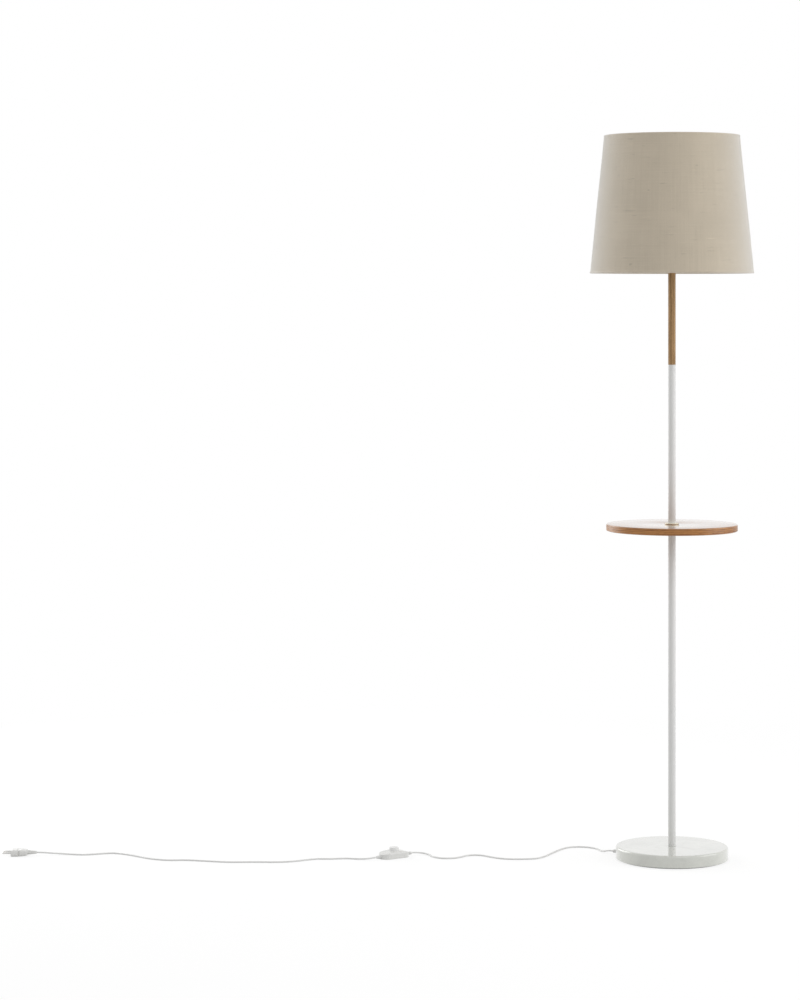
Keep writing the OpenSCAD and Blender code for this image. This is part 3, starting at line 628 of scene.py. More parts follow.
def bevel(bm, geom, size, segments, affect="EDGES", clamp=False):
    bmesh.ops.bevel(
        bm,
        geom=geom,
        offset=size,
        offset_type="OFFSET",
        segments=segments,
        profile=0.5,
        affect=affect,
        material=-1,
        clamp_overlap=clamp,
    )


def outline(points, corners=None, closed=True):
    """A bmesh with one outline of (radius, height) points in millimetres, some corners rounded.
    Corners gives a rounding in millimetres for each index that has one."""
    bm = bmesh.new()
    verts = [bm.verts.new((r * MM, 0, z * MM)) for r, z in points]
    ends = verts[1:] + verts[:1] if closed else verts[1:]
    for start, end in zip(verts, ends):
        bm.edges.new((start, end))
    groups = {}
    for index, size in (corners or {}).items():
        groups.setdefault(size, []).append(verts[index])
    for size, group in groups.items():
        bevel(bm, group, size * MM, 5 if size > 0.8 else 3, "VERTICES")
    return bm


def cut_finely(bm, shortest=0.0, cuts=24):
    """Divides the edges of an outline that are longer than a length in metres."""
    sides = [edge for edge in bm.edges if edge.calc_length() > shortest]
    bmesh.ops.subdivide_edges(bm, edges=sides, cuts=cuts)


def face_outwards(bm):
    bmesh.ops.recalc_face_normals(bm, faces=bm.faces[:])


def spin(bm, angle, steps, rise=0.0, merge=False):
    """Spins everything in a bmesh about Z, and lifts it a little with each step."""
    bmesh.ops.spin(
        bm,
        geom=bm.verts[:] + bm.edges[:],
        cent=(0, 0, 0),
        axis=UP,
        dvec=UP * rise,
        angle=angle,
        steps=steps,
        use_merge=merge,
    )


def turn_full(bm, steps):
    """Spins a bmesh once about Z, closes its poles and points its faces outwards."""
    spin(bm, FULL_TURN, steps, merge=True)
    bmesh.ops.remove_doubles(bm, verts=bm.verts[:], dist=1e-6)
    face_outwards(bm)
    return bm


def lathe(points, corners=None, closed=True, steps=96):
    return turn_full(outline(points, corners, closed), steps)


def add_turned(name, points, corners, finish, slot, node, **shape):
    """Piece that is turned from an outline and stands for one node."""
    add_piece(name, lathe(points, corners, **shape), finish, [node])


def pipe_points(inner, outer, low, high):
    return [(inner, low), (outer, low), (outer, high), (inner, high)]


def cut_level(bm, height, above=True):
    """Cuts away what lies above a height, or else what lies below it."""
    bmesh.ops.bisect_plane(
        bm,
        geom=bm.verts[:] + bm.edges[:] + bm.faces[:],
        dist=1e-7,
        plane_co=UP * height,
        plane_no=UP if above else -UP,
        clear_outer=True,
    )


def wire_section(radius, height, thickness, sides):
    """A bmesh with a wire's round section, upright at a radius and a height."""
    bm = bmesh.new()
    place = Matrix.Translation((radius, 0, height)) @ Matrix.Rotation(math.pi / 2, 4, "X")
    bmesh.ops.create_circle(bm, radius=thickness / 2, segments=sides, matrix=place)
    return bm


def facing(origin, direction):
    """Matrix that turns Z to a direction and moves to an origin."""
    turn = Vector(direction).to_track_quat("Z", "Y")
    return Matrix.Translation(origin) @ turn.to_matrix().to_4x4()


def smooth(route, steps=8):
    """Points along one smooth curve through a route's points."""
    points = [Vector(p) for p in route]
    before = [2 * points[0] - points[1]] + points[:-1]
    after = points[1:] + [2 * points[-1] - points[-2]]
    reaches = [(following - last) / 6 for last, following in zip(before, after)]
    path = [points[0]]
    for k in range(len(points) - 1):
        start, end = points[k : k + 2]
        handles = start + reaches[k], end - reaches[k + 1]
        path += geometry.interpolate_bezier(start, *handles, end, steps + 1)[1:]
    return path


def flatten(verts, wide, thick):
    """Turns round rings about Z into flat ones with round edges."""
    for vert in verts:
        vert.co.xy *= thick / wide
        vert.co.x += (wide - thick) / 2 * ((vert.co.x > 1e-6) - (vert.co.x < -1e-6))


def made_verts(made):
    return [item for item in made["geom"] if isinstance(item, bmesh.types.BMVert)]


def sweep(bm, points, wide, thick, side=None, sides=16):
    """Round or flat bar along points: its ring is extruded from each to the next and turned
    with the path. Side is the way that its width lies, or else level."""
    points = [Vector(p) for p in points]
    ways = [(b - a).normalized() for a, b in zip(points, points[1:])]
    ways = [ways[0]] + [(a + b).normalized() for a, b in zip(ways, ways[1:])] + [ways[-1]]
    half_step = Matrix.Rotation(math.pi / sides, 4, "Z")
    made = bmesh.ops.create_circle(bm, radius=wide / 2, segments=sides, matrix=half_step)
    verts = made["verts"]
    flatten(verts, wide, thick)
    rim = list({edge for vert in verts for edge in vert.link_edges})
    ends, last = list(rim), Matrix()
    for k, (point, way) in enumerate(zip(points, ways)):
        if k:
            made = bmesh.ops.extrude_edge_only(bm, edges=rim)
            verts = made_verts(made)
            rim = [item for item in made["geom"] if isinstance(item, bmesh.types.BMEdge)]
        across = side or UP.cross(way).normalized()
        turn = Matrix((across, way.cross(across), way)).transposed().to_4x4()
        place = Matrix.Translation(point) @ turn
        bmesh.ops.transform(bm, matrix=place @ last.inverted(), verts=verts)
        last = place
    bmesh.ops.holes_fill(bm, edges=ends + rim, sides=0)
    face_outwards(bm)


def wrap_map(bm, radius, slope=1.0):
    """Gives a turned piece a map in metres: the way round at a set radius, and the way up."""
    layer = bm.loops.layers.uv.new("wrap")
    for face in bm.faces:
        middle = face.calc_center_median()
        centre_angle = math.atan2(middle.x, -middle.y)
        for loop in face.loops:
            co = loop.vert.co
            angle = math.atan2(co.x, -co.y)
            angle += FULL_TURN * round((centre_angle - angle) / FULL_TURN)
            loop[layer].uv = (angle * radius, co.z * slope)


def hand_made(bm, amount, scale):
    """Moves each point of a turned piece in or out a little, as glued cloth wanders."""
    for vert in bm.verts:
        outwards = Vector((vert.co.x, vert.co.y, 0)).normalized()
        vert.co += outwards * amount * noise.noise(vert.co * scale)


def add_lead(name, path, finish, replaced, side=None):
    """Flat lead along a path."""
    lead = settings().lead
    bm = bmesh.new()
    sweep(bm, path, lead.width, lead.thickness, side)
    add_piece(name, bm, finish, [replaced])


def ribbed_sleeve(place, wide, narrow, inside, reach, ribs, groove):
    """Bend relief at a place: a straight root, then a taper cut by grooves, open for the lead."""
    lead = settings().lead
    bore = lead.width / MM / 2 + 0.02
    points = [(bore, -inside), (wide, -inside), (wide, 0.0)]
    step = reach / (ribs + 1)
    for k in range(ribs):
        start, end = step * (k + 0.62), step * (k + 1)
        at_start = wide + (narrow - wide) * start / reach
        at_end = wide + (narrow - wide) * end / reach
        points += [(at_start, start), (at_start - groove, start + 0.15)]
        points += [(at_end - groove, end - 0.15), (at_end, end)]
    points += [(narrow, reach), (bore, reach)]
    sleeve = lathe(points, {1: 0.3, len(points) - 2: 0.3}, steps=40)
    bored = [vert for vert in sleeve.verts if vert.co.xy.length < (bore + 0.1) * MM]
    flatten(bored, lead.width, lead.thickness)
    sleeve.transform(place)
    return sleeve


# ---- Operators ----


class LAMP_OT_stage(bpy.types.Operator):
    """Set up the floor, the soft lights and the camera"""

    bl_idname = "floor_lamp.stage"
    bl_label = "Build Stage"

    def execute(self, context):
        s = settings().stage
        scene = context.scene
        scene.view_settings.view_transform = "Standard"

        bm = bmesh.new()
        bmesh.ops.create_grid(bm, x_segments=1, y_segments=1, size=40)
        bmesh.ops.translate(bm, verts=bm.verts[:], vec=(0, 0, -0.2 * MM))
        floor = new_object("studio_floor", new_mesh("studio_floor", bm))
        floor.data.materials.append(build_floor(s))

        tint = rgba(s.floor_colour)
        f = Finish(bpy.data.worlds.new("studio"))
        light = f.add("Background", {"Color": tint, "Strength": s.sky_level})
        backdrop = f.add("Background", {"Color": tint})
        choice = f.add("MixShader", {0: f.seen_rays(), 1: light, 2: backdrop})
        scene.world = f.end(choice, "World")

        aim = Vector((0, 0, 0.8))
        for name, power, place, size in (
            ("right_panel", s.right_power, (2.7, -0.6, 1.2), (2.2, 2.4)),
            ("left_panel", s.left_power, (-2.4, 1.8, 1.2), (2.2, 2.4)),
            ("front_panel", s.front_power, (1.2, -4.2, 3.0), (2.4, 2.4)),
        ):
            panel = bpy.data.lights.new(name, "AREA")
            panel.shape = "RECTANGLE"
            panel.size, panel.size_y = size
            panel.energy = power
            obj = new_object(name, panel)
            obj.matrix_world = facing(place, Vector(place) - aim)
            obj.visible_camera = False

        camera = bpy.data.cameras.new("camera")
        camera.lens = s.lens
        camera.shift_y = -0.206
        scene.camera = new_object("camera", camera)
        scene.camera.location = (-0.581, -6.449, 1.207)
        scene.camera.rotation_euler = (math.pi / 2, 0, 0)
        return {"FINISHED"}


class LAMP_OT_leads(bpy.types.Operator):
    """Lay the mains lead and the lead inside the pole"""

    bl_idname = "floor_lamp.leads"
    bl_label = "Build Leads"

    def execute(self, context):
        s = settings().lead
        sheath = build_plastic("white_lead_sheath", s.sheath, 0.34, 0.5, 800.0, 0.00003)
        add_lead("lead_base_to_switch", smooth(LEAD_TO_SWITCH), sheath, "lead_to_switch")
        add_lead("lead_switch_to_plug", smooth(LEAD_TO_PLUG), sheath, "lead_to_plug")

        # Down the pole, round one bend and out through the base
        bend, bend_steps = 0.0085, 10
        drops = (top_z("inner_lead"), 1.1, 0.7, 0.3, 0.06, LEAD_EXIT.z + bend)
        inside = [UP * z for z in drops]
        corner = UP * (LEAD_EXIT.z + bend) + EXIT_DIRECTION * bend
        for k in range(1, bend_steps):
            angle = math.pi / 2 * k / bend_steps
            across, down = EXIT_DIRECTION * bend * math.cos(angle), UP * bend * math.sin(angle)
            inside.append(corner - across - down)
        inside += [UP * LEAD_EXIT.z + EXIT_DIRECTION * r for r in (bend, 0.03, 0.08, EXIT_REACH)]
        add_lead("lead_inside_pole", inside, sheath, "inner_lead", UP.cross(EXIT_DIRECTION))

        place = facing(EXIT_DIRECTION * BASE_EDGE + UP * LEAD_EXIT.z, EXIT_DIRECTION)
        form = {"wide": 4.45, "narrow": 3.2, "inside": 14.0, "reach": 14.0}
        relief = ribbed_sleeve(place, **form, ribs=5, groove=0.55)
        rubber = build_plastic("white_soft_grommet", s.sheath, 0.5, 0.62, 700.0, 0.00003)
        add_piece("lead_exit_relief", relief, rubber, ["strain_relief"])
        return {"FINISHED"}


class LAMP_OT_base(bpy.types.Operator):
    """Finish the stone base and lay its dark felt, which also paints the shade under its rim"""

    bl_idname = "floor_lamp.base"
    bl_label = "Build Base"

    def execute(self, context):
        s = settings().base
        give_finish(build_stone(s), "base_slab")
        radius, thick = s.felt_radius / MM, 2
        points = [(0, 0), (radius, 0), (radius, thick), (0, thick)]
        felt = lathe(points, {1: 0.7, 2: 0.7}, closed=False, steps=160)
        piece = add_piece("base_felt_and_rim_shade", felt, build_felt_and_rim_shade(s), ["base_pad"])
        return {"FINISHED"}


class LAMP_OT_pole(bpy.types.Operator):
    """Build the lacquered tubes and the wooden end of the pole"""

    bl_idname = "floor_lamp.pole"
    bl_label = "Build Pole"

    def execute(self, context):
        s = settings().pole
        outer, edge = s.radius / MM, s.edge / MM
        inner = outer - s.wall / MM
        lacquer = build_lacquer("white_lacquer", s.lacquer)
        for name, node in (("lower_pole_tube", "lower_tube"), ("upper_pole_tube", "upper_tube")):
            points = pipe_points(inner, outer, *levels(node))
            corners = {1: edge, 2: edge}
            add_turned(name, points, corners, lacquer, "white_lacquer", node, steps=64)

        # The wood's bore is wider at both ends, where the rods screw in
        low, high = levels("wood_pole")
        bore, thread, grip = s.bore / MM / 2, 5.05, 18.0
        points = pipe_points(thread, outer, low, high)
        points += [(thread, high - grip), (bore, high - grip)]
        points += [(bore, low + grip), (thread, low + grip)]
        corners = {1: 0.5, 2: 0.5}
        wood = build_wood("oiled_pole_wood", s, 2, 0.006, 0.45, 0.62, specular_ior_level=0.2)
        add_turned("wooden_pole_end", points, corners, wood, "pole_wood", "wood_pole", steps=64)
        return {"FINISHED"}


class LAMP_OT_table(bpy.types.Operator):
    """Build the tabletop and the washers above and below it"""

    bl_idname = "floor_lamp.table"
    bl_label = "Build Table"

    def execute(self, context):
        s = settings().table
        edge, rod = s.edge / MM, 5.25
        points = pipe_points(rod, s.radius / MM, *levels("tabletop"))
        top = lathe(points, {0: 0.4, 1: edge, 2: edge, 3: 0.4}, steps=192)
        wrap_map(top, s.radius)
        for face in top.faces:
            outer = face.calc_center_median().xy.length > s.radius - 1.2 * MM
            face.material_index = int(outer and abs(face.normal.z) < 0.45)
        gloss = {"coat_weight": 1.0, "coat_roughness": 0.05, "coat_ior": 1.6}
        wood = build_wood("lacquered_table_wood", s, 0, s.grain, 0.22, 0.34, **gloss)
        top = add_piece("round_tabletop", top, wood, ["tabletop"])
        gloss = {"coat_weight": 0.1, "coat_roughness": 0.2, "specular_ior_level": 0.35}
        banding = build_wood(
            "table_edge_banding", s, 0, s.grain / 3, 0.3, 0.42, source="UV", spread=0.17, **gloss
        )
        top.data.materials.append(banding)

        steel = build_metal("table_washer_steel", (0.82, 0.76, 0.62), 0.42, 0.56)
        for name, node in (
            ("table_washer_under", "table_washer_lower"),
            ("table_washer_over", "table_washer_upper"),
        ):
            points = pipe_points(rod, width(node) / MM / 2, *levels(node))
            add_turned(name, points, {1: 0.3, 2: 0.45}, steel, "washer_steel", node)
        return {"FINISHED"}


class LAMP_OT_lampholder(bpy.types.Operator):
    """Build the lampholder's cap, threaded skirt and ring nut"""

    bl_idname = "floor_lamp.lampholder"
    bl_label = "Build Lampholder"

    def execute(self, context):
        s = settings().holder
        plastic = build_plastic("lampholder_plastic", s.plastic, 0.26, 0.4, 900.0, 0.00003)
        crest, rod = 19.5, 5.05
        foot, rim = levels("holder_cap")
        points = [(rod, foot), (13.5, foot), (15.8, foot + 7.6), (16.6, foot + 8.4)]
        points += [(crest, rim - 2.4), (crest, rim), (17.5, rim), (17.5, rim - 2.4)]
        points += [(13.5, foot + 9), (rod, foot + 9)]
        corners = {1: 1.0, 2: 0.4, 3: 0.4, 4: 0.6}
        add_turned("lampholder_cap", points, corners, plastic, "holder_plastic", "holder_cap")

        # The skirt's thread is one pitch of outline, spun upwards, then cut level at both ends
        seat, rim = levels("holder_skirt")
        pitch = s.pitch / MM
        root = crest - s.groove / MM
        turns, steps = 8, 96
        thread_low, thread_high = rim - 1.2 - pitch * (turns - 1), rim - 1.0
        points = [(root, thread_low - pitch), (root, thread_low - 0.55 * pitch)]
        points += [(crest, thread_low - 0.3 * pitch), (crest, thread_low - 0.2 * pitch)]
        thread = outline([*points, (root, thread_low)], closed=False)
        spin(thread, FULL_TURN * (turns + 1), steps * (turns + 1), rise=pitch * MM / steps)
        bmesh.ops.remove_doubles(thread, verts=thread.verts[:], dist=2e-6)
        cut_level(thread, thread_low * MM, above=False)
        cut_level(thread, thread_high * MM)
        open_edges = [edge for edge in thread.edges if edge.is_boundary]
        made = bmesh.ops.extrude_edge_only(thread, edges=open_edges)
        for vert in made_verts(made):
            vert.co.xy = vert.co.xy.normalized() * (root - 0.25) * MM
        face_outwards(thread)
        add_piece("lampholder_thread", thread, plastic, sharp=30)

        bore, flange, core = 15.5, 23.5, root - 0.1
        points = [(bore, seat), (flange, seat), (flange, seat + 2), (crest, seat + 2)]
        points += [(crest, thread_low), (core, thread_low), (core, thread_high)]
        points += [(root, thread_high), (root, rim), (bore, rim)]
        corners = {1: 0.4, 2: 0.4, 8: 0.3, 9: 0.5}
        add_turned("lampholder_skirt", points, corners, plastic, "holder_plastic", "holder_skirt")

        # The ring nut's grip is notches in its rim, two steps wide in every six
        low, high = levels("ring_nut")
        rim, steps, pitch_steps, notch_steps, notch_share = 25.0, 144, 6, 2, 0.028
        nut = lathe(pipe_points(19.6, rim, low, high), {1: 0.6, 2: 0.8, 3: 0.4}, steps=steps)
        middle = (low + high) / 2 * MM
        for vert in nut.verts:
            step = round(math.atan2(vert.co.y, vert.co.x) / FULL_TURN * steps)
            if vert.co.xy.length > (rim - 0.6) * MM and abs(vert.co.z - middle) < 3.5 * MM:
                vert.co.xy *= 1 - notch_share * (step % pitch_steps < notch_steps)
        add_piece("shade_ring_nut", nut, plastic, ["ring_nut"])

        ceramic = build_plastic("holder_ceramic", (0.72, 0.71, 0.66), 0.3, 0.5, 500.0, 0.00005)
        give_finish(ceramic, "contact_block")
        brass = build_metal("contact_brass", (0.72, 0.52, 0.24), 0.24, 0.4)
        give_finish(brass, "centre_contact", "screw_shell")
        return {"FINISHED"}


class LAMP_OT_bulb(bpy.types.Operator):
    """Build the lamp bulb: threaded cap, body and opal globe"""

    bl_idname = "floor_lamp.bulb"
    bl_label = "Build Bulb"

    def execute(self, context):
        s = settings().bulb
        low, high = levels("bulb_cap")
        root, crest, pitch = 12.3, 13.2, 3.6
        points = [(0, low), (4.5, low), (4.5, low + 1.5), (11, low + 5.5)]
        for k in range(4):
            foot = low + 6.2 + k * pitch
            points += [(root, foot), (crest, foot + 0.9), (crest, foot + 1.5), (root, foot + 2.4)]
        points += [(root, high - 2), (crest, high - 1), (crest, high), (0, high)]
        cap = lathe(points, {k: 0.35 for k in range(4, len(points) - 4)}, closed=False, steps=72)
        steel = build_metal("bulb_cap_metal", (0.66, 0.66, 0.66), 0.24, 0.38)
        add_piece("bulb_screw_cap", cap, steel, ["bulb_cap"])

        foot, rim = levels("bulb_body")
        radius = width("bulb_body") / MM / 2
        points = [(0, foot), (13.5, foot), (13.9, foot + 4), (20.5, foot + 23)]
        points += [(radius - 1.2, rim - 7), (radius, rim - 1), (radius - 0.4, rim), (0, rim)]
        body = lathe(points, {1: 0.5, 2: 3.5, 3: 8.0, 4: 4.0}, closed=False)
        shell = build_plastic("bulb_body_plastic", (0.82, 0.82, 0.80), 0.3, 0.42)
        add_piece("bulb_neck", body, shell, ["bulb_body"])

        globe = bmesh.new()
        centre = Matrix.Translation((0, 0, top_z("bulb_diffuser") - s.globe_radius))
        bmesh.ops.create_uvsphere(
            globe, u_segments=96, v_segments=64, radius=s.globe_radius, matrix=centre
        )
        cut_level(globe, low_z("bulb_diffuser"), above=False)
        bmesh.ops.holes_fill(globe, edges=globe.edges[:], sides=0)
        add_piece("bulb_globe", globe, build_opal(s), ["bulb_diffuser"])
        return {"FINISHED"}


class LAMP_OT_shade(bpy.types.Operator):
    """Build the linen shade, its lining, its hems and its wire frame"""

    bl_idname = "floor_lamp.shade"
    bl_label = "Build Shade"

    def execute(self, context):
        s = settings().shade
        wire = 0.003
        foot = (low_z("shade_bottom_ring") + wire / 2) / MM
        head = (top_z("shade_top_ring") - wire / 2) / MM
        low_ring = width("shade_bottom_ring") / 2 - wire / 2
        high_ring = width("shade_top_ring") / 2 - wire / 2
        proud = s.hem / 2 - 0.0006
        low_r, high_r = (low_ring + proud) / MM, (high_ring + proud) / MM
        slope = math.hypot(head - foot, low_r - high_r) / (head - foot)
        mean_radius = (low_r + high_r) / 2 * MM
        wandering = 0.0004, 9.0

        def wall(inset, thick):
            """Cloth wall between the two rings, inset from the shade's face."""
            points = [(low_r - inset - thick, foot), (low_r - inset, foot)]
            points += [(high_r - inset, head), (high_r - inset - thick, head)]
            bm = outline(points)
            cut_finely(bm, shortest=0.1)
            turn_full(bm, s.steps)
            hand_made(bm, *wandering)
            wrap_map(bm, mean_radius, slope)
            return bm

        linen = build_linen("natural_linen", s, 0.00028)
        cover_thick, lining_thick = 0.8, 0.5
        cover = wall(0, cover_thick)
        cover = add_piece("linen_cover", cover, linen, ["shade_cover"])
        lining, film = wall(cover_thick, lining_thick), build_lining(s)
        lining = add_piece("white_lining", lining, film, ["shade_lining"])

        hem_cloth = build_linen("hem_linen", s, 0.00022)
        for name, node, radius, height in (
            ("top_rolled_hem", "shade_top_hem", high_ring, head * MM),
            ("bottom_rolled_hem", "shade_bottom_hem", low_ring, foot * MM),
        ):
            hem = turn_full(wire_section(radius, height, s.hem, 20), s.steps)
            hand_made(hem, 0.0005, 60.0)
            wrap_map(hem, radius)
            add_piece(name, hem, hem_cloth, [node])

        # The cloth's free edge is glued over its start at the back
        seam = outline([(low_r, foot + 2.4), (high_r, head - 2.4)], closed=False)
        cut_finely(seam)
        half = s.seam_width / mean_radius / 2
        start = Matrix.Rotation(math.pi / 2 - half, 3, "Z")
        bmesh.ops.rotate(seam, verts=seam.verts[:], matrix=start)
        spin(seam, 2 * half, 6)
        hand_made(seam, *wandering)
        face_outwards(seam)
        first = seam.faces[:][0]
        outward = first.normal.dot(first.calc_center_median()) > 0
        bmesh.ops.solidify(seam, geom=seam.faces[:], thickness=-0.0007 if outward else 0.0007)
        face_outwards(seam)
        wrap_map(seam, mean_radius, slope)
        seam = add_piece("linen_seam", seam, linen)

        frame_wire = build_lacquer("white_frame_wire", (0.78, 0.78, 0.76), 0.35, 0.5)
        give_finish(frame_wire, "shade_top_ring", "shade_bottom_ring")
        plate_thick, weld = 1.5, 0.0019
        plate_low = low_z("ring_nut") / MM - plate_thick
        points = pipe_points(20.0, 29.0, plate_low, plate_low + plate_thick)
        spider = lathe(points, {1: 0.4, 2: 0.4})
        plate = (plate_low + plate_thick / 2) * MM
        for k in range(3):
            outward = heading(90 + 120 * k)
            start = outward * 0.026 + UP * plate
            end = outward * low_ring + UP * foot * MM
            run = end - start
            path = [start + run * t for t in (0.0, 0.04, 0.2, 0.4, 0.6, 0.8, 1.0)]
            sweep(spider, path, wire, wire)
            for place in (outward * 0.0285 + UP * (plate + 0.0001), end):
                squat = Matrix.Translation(place) @ Matrix.Diagonal((1, 1, 0.9, 1))
                bmesh.ops.create_icosphere(spider, subdivisions=3, radius=weld, matrix=squat)
        add_piece("shade_frame_arms", spider, frame_wire, ["shade_spider"])
        return {"FINISHED"}


class LAMP_OT_foot_switch(bpy.types.Operator):
    """Finish the foot switch: shells, ribbed sleeves, button and spring"""

    bl_idname = "floor_lamp.foot_switch"
    bl_label = "Build Foot Switch"

    def execute(self, context):
        s = settings().switch
        shell = build_plastic("switch_plastic", s.shell, 0.26, 0.38, 1100.0, 0.00003, coat=0.1)
        give_finish(shell, "switch_lower_shell", "switch_upper_shell")
        inside = build_plastic("switch_carrier_plastic", (0.70, 0.69, 0.64), 0.4, 0.55)
        give_finish(inside, "switch_carrier")
        brass = build_metal("terminal_brass", (0.72, 0.52, 0.24), 0.26, 0.42)
        give_finish(brass, "switch_terminals")
        give_finish(build_metal("core_copper", (0.62, 0.33, 0.2), 0.3, 0.45), "switch_cores")

        sleeves = bmesh.new()
        form = {"wide": 3.8, "narrow": 3.0, "inside": 11.0, "reach": 10.0}
        for way in (SWITCH_DIRECTION, -SWITCH_DIRECTION):
            place = facing(SWITCH_CENTRE + way * SWITCH_HALF_LENGTH, way)
            mesh = new_mesh("sleeve", ribbed_sleeve(place, **form, ribs=4, groove=0.4))
            sleeves.from_mesh(mesh)
            bpy.data.meshes.remove(mesh)
        rubber = build_plastic("switch_sleeve_rubber", settings().lead.sheath, 0.5, 0.62)
        add_piece("switch_lead_sleeves", sleeves, rubber, ["switch_sleeves"])

        lip, top = levels("switch_button")
        radius, dish = s.button_radius / MM, s.dish / MM
        hollow, flange = 8.5, 12.3
        points = [(0, top - 2.5), (hollow, top - 2.5), (hollow, lip), (flange, lip)]
        points += [(flange, lip + 1.4), (radius, lip + 1.4), (radius, top), (radius - 3.0, top)]
        points += [(radius - 4.2, top - dish), (0, top - dish * 1.3)]
        button = lathe(points, {4: 0.3, 6: 1.9, 7: 0.7, 8: 0.7}, closed=False)
        button.transform(SWITCH_PLACE)
        gloss = build_plastic("button_plastic", s.button, 0.2, 0.32, 900.0, 0.00002, coat=0.2)
        add_piece("foot_button", button, gloss, ["switch_button"], "button")

        low, high = low_z("switch_spring"), top_z("switch_spring")
        gauge, mean_radius, turns, fine = 0.0009, 0.0055, 5, 36
        spring = wire_section(mean_radius, low + gauge / 2, gauge, 10)
        rise = (high - low - gauge) / (turns * fine)
        spin(spring, FULL_TURN * turns, turns * fine, rise)
        bmesh.ops.holes_fill(spring, edges=spring.edges[:], sides=0)
        face_outwards(spring)
        spring.transform(SWITCH_PLACE)
        steel = build_metal("spring_steel", (0.55, 0.56, 0.57), 0.22, 0.36)
        piece = add_piece("button_return_spring", spring, steel, ["switch_spring"])
        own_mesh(piece)
        return {"FINISHED"}


class LAMP_OT_plug(bpy.types.Operator):
    """Build the plug's body with its grip ribs and its ribbed relief"""

    bl_idname = "floor_lamp.plug"
    bl_label = "Build Plug"

    def execute(self, context):
        s = settings().plug
        plastic = build_plastic("plug_plastic", s.body, 0.32, 0.46, 800.0, 0.00003)
        low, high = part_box("plug_body")
        size, centre = high - low, (low + high) / 2
        taper_from, side_taper, top_taper = 0.52, 0.38, 0.15
        corner_angle, rim_angle = 1.2, 1.0

        def narrowing(share):
            """From 0 where the body starts to narrow to 1 at the lead's end."""
            return max(0.0, (share - taper_from) / (1 - taper_from))

        def run_along(edge):
            return abs(edge.verts[0].co.x - edge.verts[1].co.x)

        body = bmesh.new()
        bmesh.ops.create_cube(body, size=1.0)
        long_edges = [edge for edge in body.edges if run_along(edge) > 0.5]
        bmesh.ops.subdivide_edges(body, edges=long_edges, cuts=9)
        bmesh.ops.scale(body, verts=body.verts[:], vec=size)
        bmesh.ops.translate(body, verts=body.verts[:], vec=centre)
        for vert in body.verts:
            narrow = narrowing((vert.co.x - low.x) / size.x)
            vert.co.y = centre.y + (vert.co.y - centre.y) * (1 - side_taper * narrow)
            vert.co.z = centre.z + (vert.co.z - centre.z) * (1 - top_taper * narrow)
        corners = [edge for edge in body.edges if edge.calc_face_angle(0) > corner_angle]
        corners = [edge for edge in corners if run_along(edge) > 0.001]
        bevel(body, corners, size.z * 0.32, 4, clamp=True)
        rims = [edge for edge in body.edges if edge.calc_face_angle(0) > rim_angle]
        bevel(body, rims, 0.0011, 4, clamp=True)
        face_outwards(body)
        add_piece("plug_body_shell", body, plastic, ["plug_body"])

        ribs = bmesh.new()
        rib_size = Matrix.Diagonal((0.0011, 0.0018, 0.0062, 1))
        first_share, share_step = 0.60, 0.075
        for k in range(s.rib_count):
            share = first_share + share_step * k
            half_width = size.y / 2 * (1 - side_taper * narrowing(share)) - 0.0006
            for side in (half_width, -half_width):
                place = Matrix.Translation((low.x + size.x * share, centre.y + side, centre.z))
                made = bmesh.ops.create_cube(ribs, size=1.0, matrix=place @ rib_size)
                edges = list({edge for vert in made["verts"] for edge in vert.link_edges})
                bevel(ribs, edges, 0.00035, 3)
        if s.rib_count:
            add_piece("plug_grip_ribs", ribs, plastic)

        place = facing((high.x, centre.y, centre.z), (1, 0, 0))
        form = {"wide": 5.1, "narrow": 3.1, "inside": 0.0, "reach": 20.0}
        relief = ribbed_sleeve(place, **form, ribs=6, groove=0.5)
        add_piece("plug_lead_relief", relief, plastic, ["plug_relief"])
        nickel = build_metal("pin_nickel", (0.68, 0.67, 0.65), 0.18, 0.3, (0.2, 1, 1))
        give_finish(nickel, "plug_pins")
        give_finish(plastic, "plug_pin_sleeves")
        return {"FINISHED"}


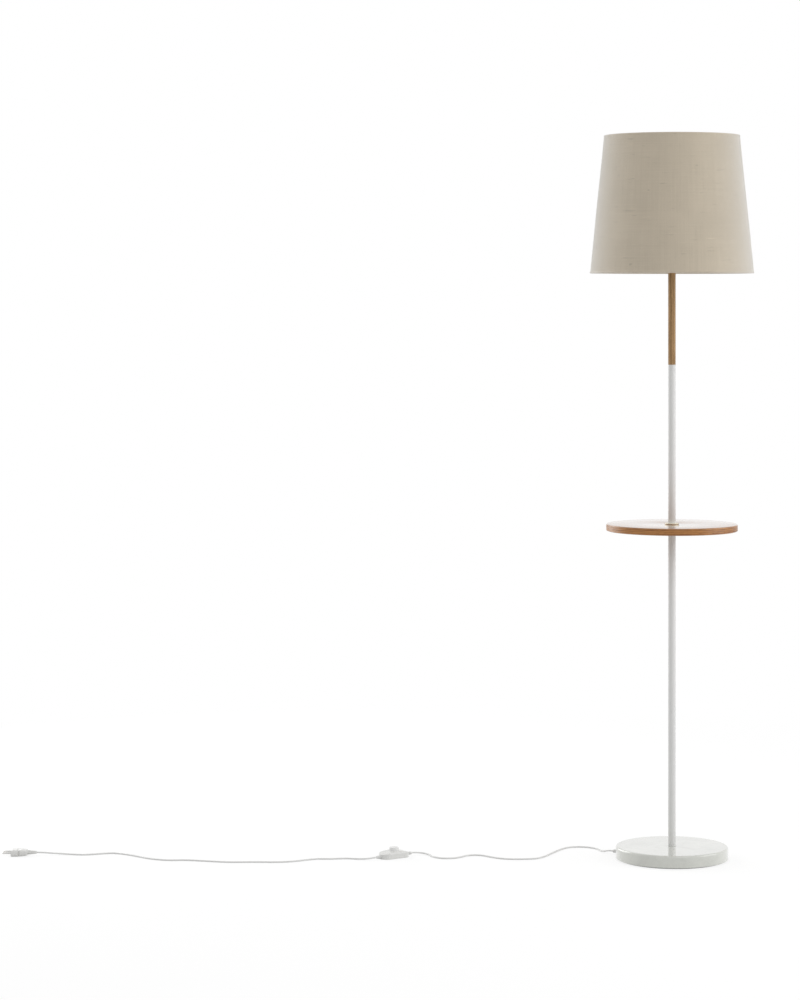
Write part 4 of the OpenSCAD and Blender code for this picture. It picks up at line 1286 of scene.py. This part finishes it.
class LAMP_OT_fittings(bpy.types.Operator):
    """Finish the rods, nuts, washers and screws that hold the lamp together"""

    bl_idname = "floor_lamp.fittings"
    bl_label = "Finish Fittings"

    def execute(self, context):
        zinc = build_metal("zinc_plated_steel", (0.60, 0.61, 0.62), 0.3, 0.48)
        give_finish(zinc, "base_nut", "base_rod", "tube_inserts", "table_rod")
        give_finish(zinc, "joint_rod", "holder_rod", "switch_screws")
        washer = build_metal("washer_steel", (0.56, 0.56, 0.56), 0.26, 0.42)
        give_finish(washer, "base_washer", "holder_washer")
        return {"FINISHED"}


class LAMP_OT_declare_leads(bpy.types.Operator):
    bl_idname = "floor_lamp.declare_leads"
    bl_label = "Declare Leads"

    def execute(self, context):
        smooth(LEAD_TO_SWITCH)
        smooth(LEAD_TO_PLUG)
        return {"FINISHED"}


OPERATORS = [
    LAMP_OT_stage,
    LAMP_OT_leads,
    LAMP_OT_base,
    LAMP_OT_pole,
    LAMP_OT_table,
    LAMP_OT_lampholder,
    LAMP_OT_bulb,
    LAMP_OT_shade,
    LAMP_OT_foot_switch,
    LAMP_OT_plug,
    LAMP_OT_fittings,
    LAMP_OT_declare_leads,
]


class LAMP_PT_sidebar(bpy.types.Panel):
    """Sizes, colours and builders of the floor lamp"""

    bl_idname = "LAMP_PT_sidebar"
    bl_label = "Floor Lamp"
    bl_space_type = "VIEW_3D"
    bl_region_type = "UI"
    bl_category = "Floor Lamp"

    def draw(self, context):
        lamp = context.scene.floor_lamp
        for key in FloorLampSettings.__annotations__:
            group = getattr(lamp, key)
            box = self.layout.box()
            box.label(text=lamp.bl_rna.properties[key].name)
            for setting in type(group).__annotations__:
                box.prop(group, setting)
        for operator in OPERATORS:
            self.layout.operator(operator.bl_idname)


GROUPS = [StageSettings, BaseSettings, PoleSettings, TableSettings, HolderSettings]
GROUPS += [BulbSettings, ShadeSettings, LeadSettings, SwitchSettings, PlugSettings]
CLASSES = [*GROUPS, FloorLampSettings, *OPERATORS, LAMP_PT_sidebar]


def register():
    for cls in CLASSES:
        bpy.utils.register_class(cls)
    bpy.types.Scene.floor_lamp = PointerProperty(type=FloorLampSettings)


def unregister():
    del bpy.types.Scene.floor_lamp
    for cls in reversed(CLASSES):
        bpy.utils.unregister_class(cls)


def main():
    register()
    for operator in OPERATORS:
        group, name = operator.bl_idname.split(".")
        getattr(getattr(bpy.ops, group), name)()


if __name__ == "__main__":
    main()
